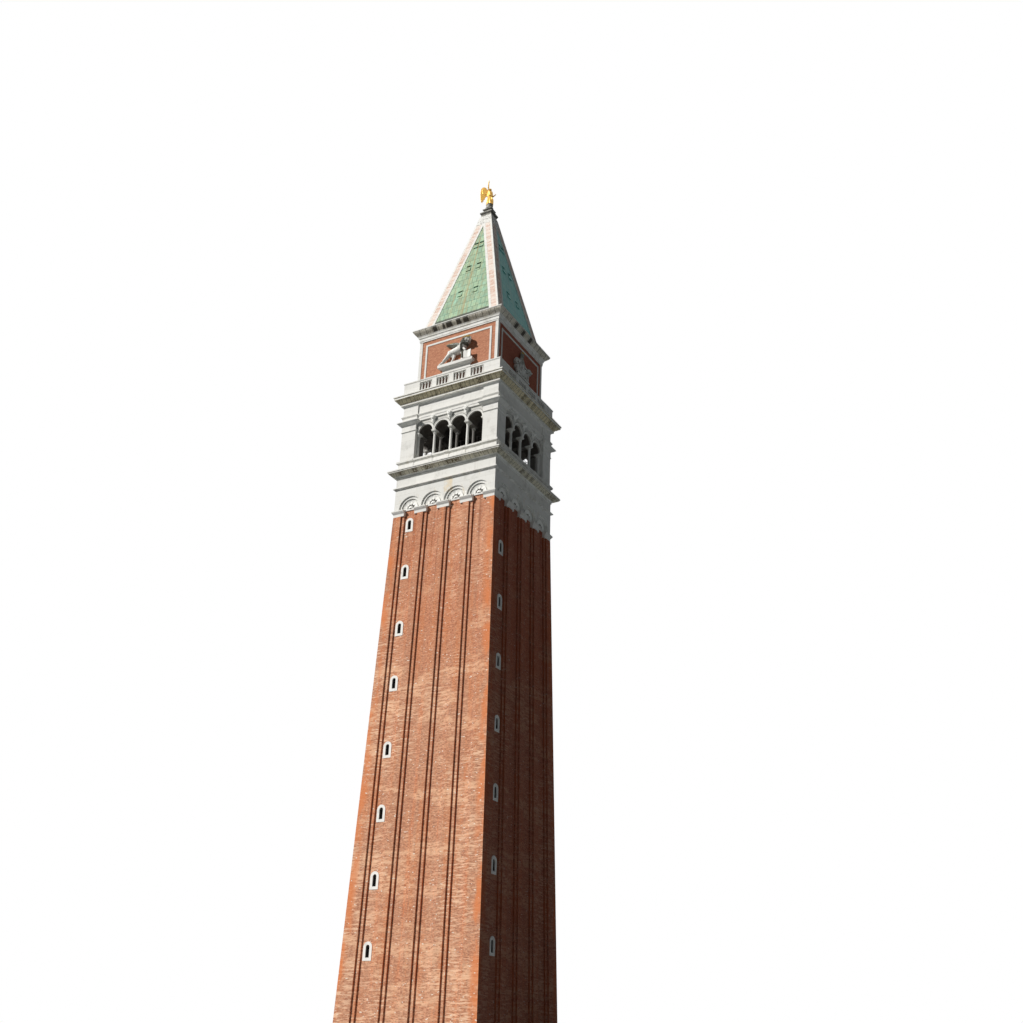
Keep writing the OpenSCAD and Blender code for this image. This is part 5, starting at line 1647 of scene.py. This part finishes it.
class TOWER_OT_stage(bpy.types.Operator):
    """Set up the floor, the light and the camera"""

    bl_idname = "tower.stage"
    bl_label = "Stage"

    def execute(self, context):
        settings = context.scene.tower_stage
        floor = add_shape("plane", "floor", size=FLOOR_SIZE)
        r = Recipe("pale_floor")
        r.colour = FLOOR_SHADE
        r.coat(settings.floor, r.seen())
        floor.data.materials.append(r.finish(0.9))
        self.light(context, settings)
        self.camera(context)
        context.scene.view_settings.view_transform = "Standard"
        return {"FINISHED"}

    def light(self, context, settings):
        """A soft sky that looks white, and a low sun from the left"""
        world = bpy.data.worlds.new("studio")
        context.scene.world = world
        world.use_nodes = True
        tree = Tree(world.node_tree)
        soft = tree.node("ShaderNodeBackground", {"Color": SKY, "Strength": settings.fill})
        white = tree.node("ShaderNodeBackground", {"Color": (1.0, 1.0, 1.0), "Strength": 1.0})
        blend = tree.node("ShaderNodeMixShader", {0: tree.seen(), 1: soft.outputs[0], 2: white.outputs[0]})
        tree.node("ShaderNodeOutputWorld", {"Surface": blend.outputs[0]})
        bpy.ops.object.light_add(type="SUN", location=(-6.0, -7.0, 14.0))
        key = context.object
        key.name = "key_light"
        key.data.energy = settings.key
        key.data.angle = SUN_SPREAD
        key.data.color = SUN
        key.rotation_euler = Vector(SUN_FROM).to_track_quat("Z", "Y").to_euler()

    def camera(self, context):
        """The camera that was fitted to the photo"""
        bpy.ops.object.camera_add(location=CAMERA_PLACE)
        camera = context.object
        camera.name = "camera"
        camera.data.sensor_width = 36.0
        camera.data.sensor_fit = "HORIZONTAL"
        camera.data.lens = CAMERA_LENS
        camera.data.clip_end = 400.0
        level = Vector((math.cos(CAMERA_YAW), math.sin(CAMERA_YAW), 0.0))
        flat = math.cos(CAMERA_PITCH)
        ahead = Vector((-math.sin(CAMERA_YAW) * flat, math.cos(CAMERA_YAW) * flat, math.sin(CAMERA_PITCH)))
        upright = level.cross(ahead)
        right = level * math.cos(CAMERA_ROLL) + upright * math.sin(CAMERA_ROLL)
        up = upright * math.cos(CAMERA_ROLL) - level * math.sin(CAMERA_ROLL)
        camera.rotation_euler = Matrix((right, up, -ahead)).transposed().to_euler()
        context.scene.camera = camera


class TOWER_PT_panel(bpy.types.Panel):
    """Lists the tower's finishing steps"""

    bl_idname = "TOWER_PT_panel"
    bl_label = "Bell Tower"
    bl_space_type = "VIEW_3D"
    bl_region_type = "UI"
    bl_category = "Bell Tower"

    def draw(self, context):
        for step in STEPS:
            self.layout.operator(step.bl_idname)


STEPS = (
    TOWER_OT_stage,
    TOWER_OT_brickwork,
    TOWER_OT_stonework,
    TOWER_OT_sheeting,
    TOWER_OT_inlay,
    TOWER_OT_capitals,
    TOWER_OT_shells,
    TOWER_OT_bosses,
    TOWER_OT_bars,
    TOWER_OT_lions,
    TOWER_OT_seated,
    TOWER_OT_angel,
    TOWER_OT_metalwork,
)
SETTINGS = {
    "tower_brick": BrickSettings,
    "tower_stone": StoneSettings,
    "tower_copper": CopperSettings,
    "tower_metal": MetalSettings,
    "tower_stage": StageSettings,
}


def register():
    for group in SETTINGS.values():
        bpy.utils.register_class(group)
    for step in STEPS:
        bpy.utils.register_class(step)
    bpy.utils.register_class(TOWER_PT_panel)
    for name, group in SETTINGS.items():
        setattr(bpy.types.Scene, name, bpy.props.PointerProperty(type=group))


def unregister():
    for name in SETTINGS:
        delattr(bpy.types.Scene, name)
    bpy.utils.unregister_class(TOWER_PT_panel)
    for step in reversed(STEPS):
        bpy.utils.unregister_class(step)
    for group in reversed(list(SETTINGS.values())):
        bpy.utils.unregister_class(group)


def main():
    register()
    for step in STEPS:
        kind, name = step.bl_idname.split(".")
        getattr(getattr(bpy.ops, kind), name)()


if __name__ == "__main__":
    main()
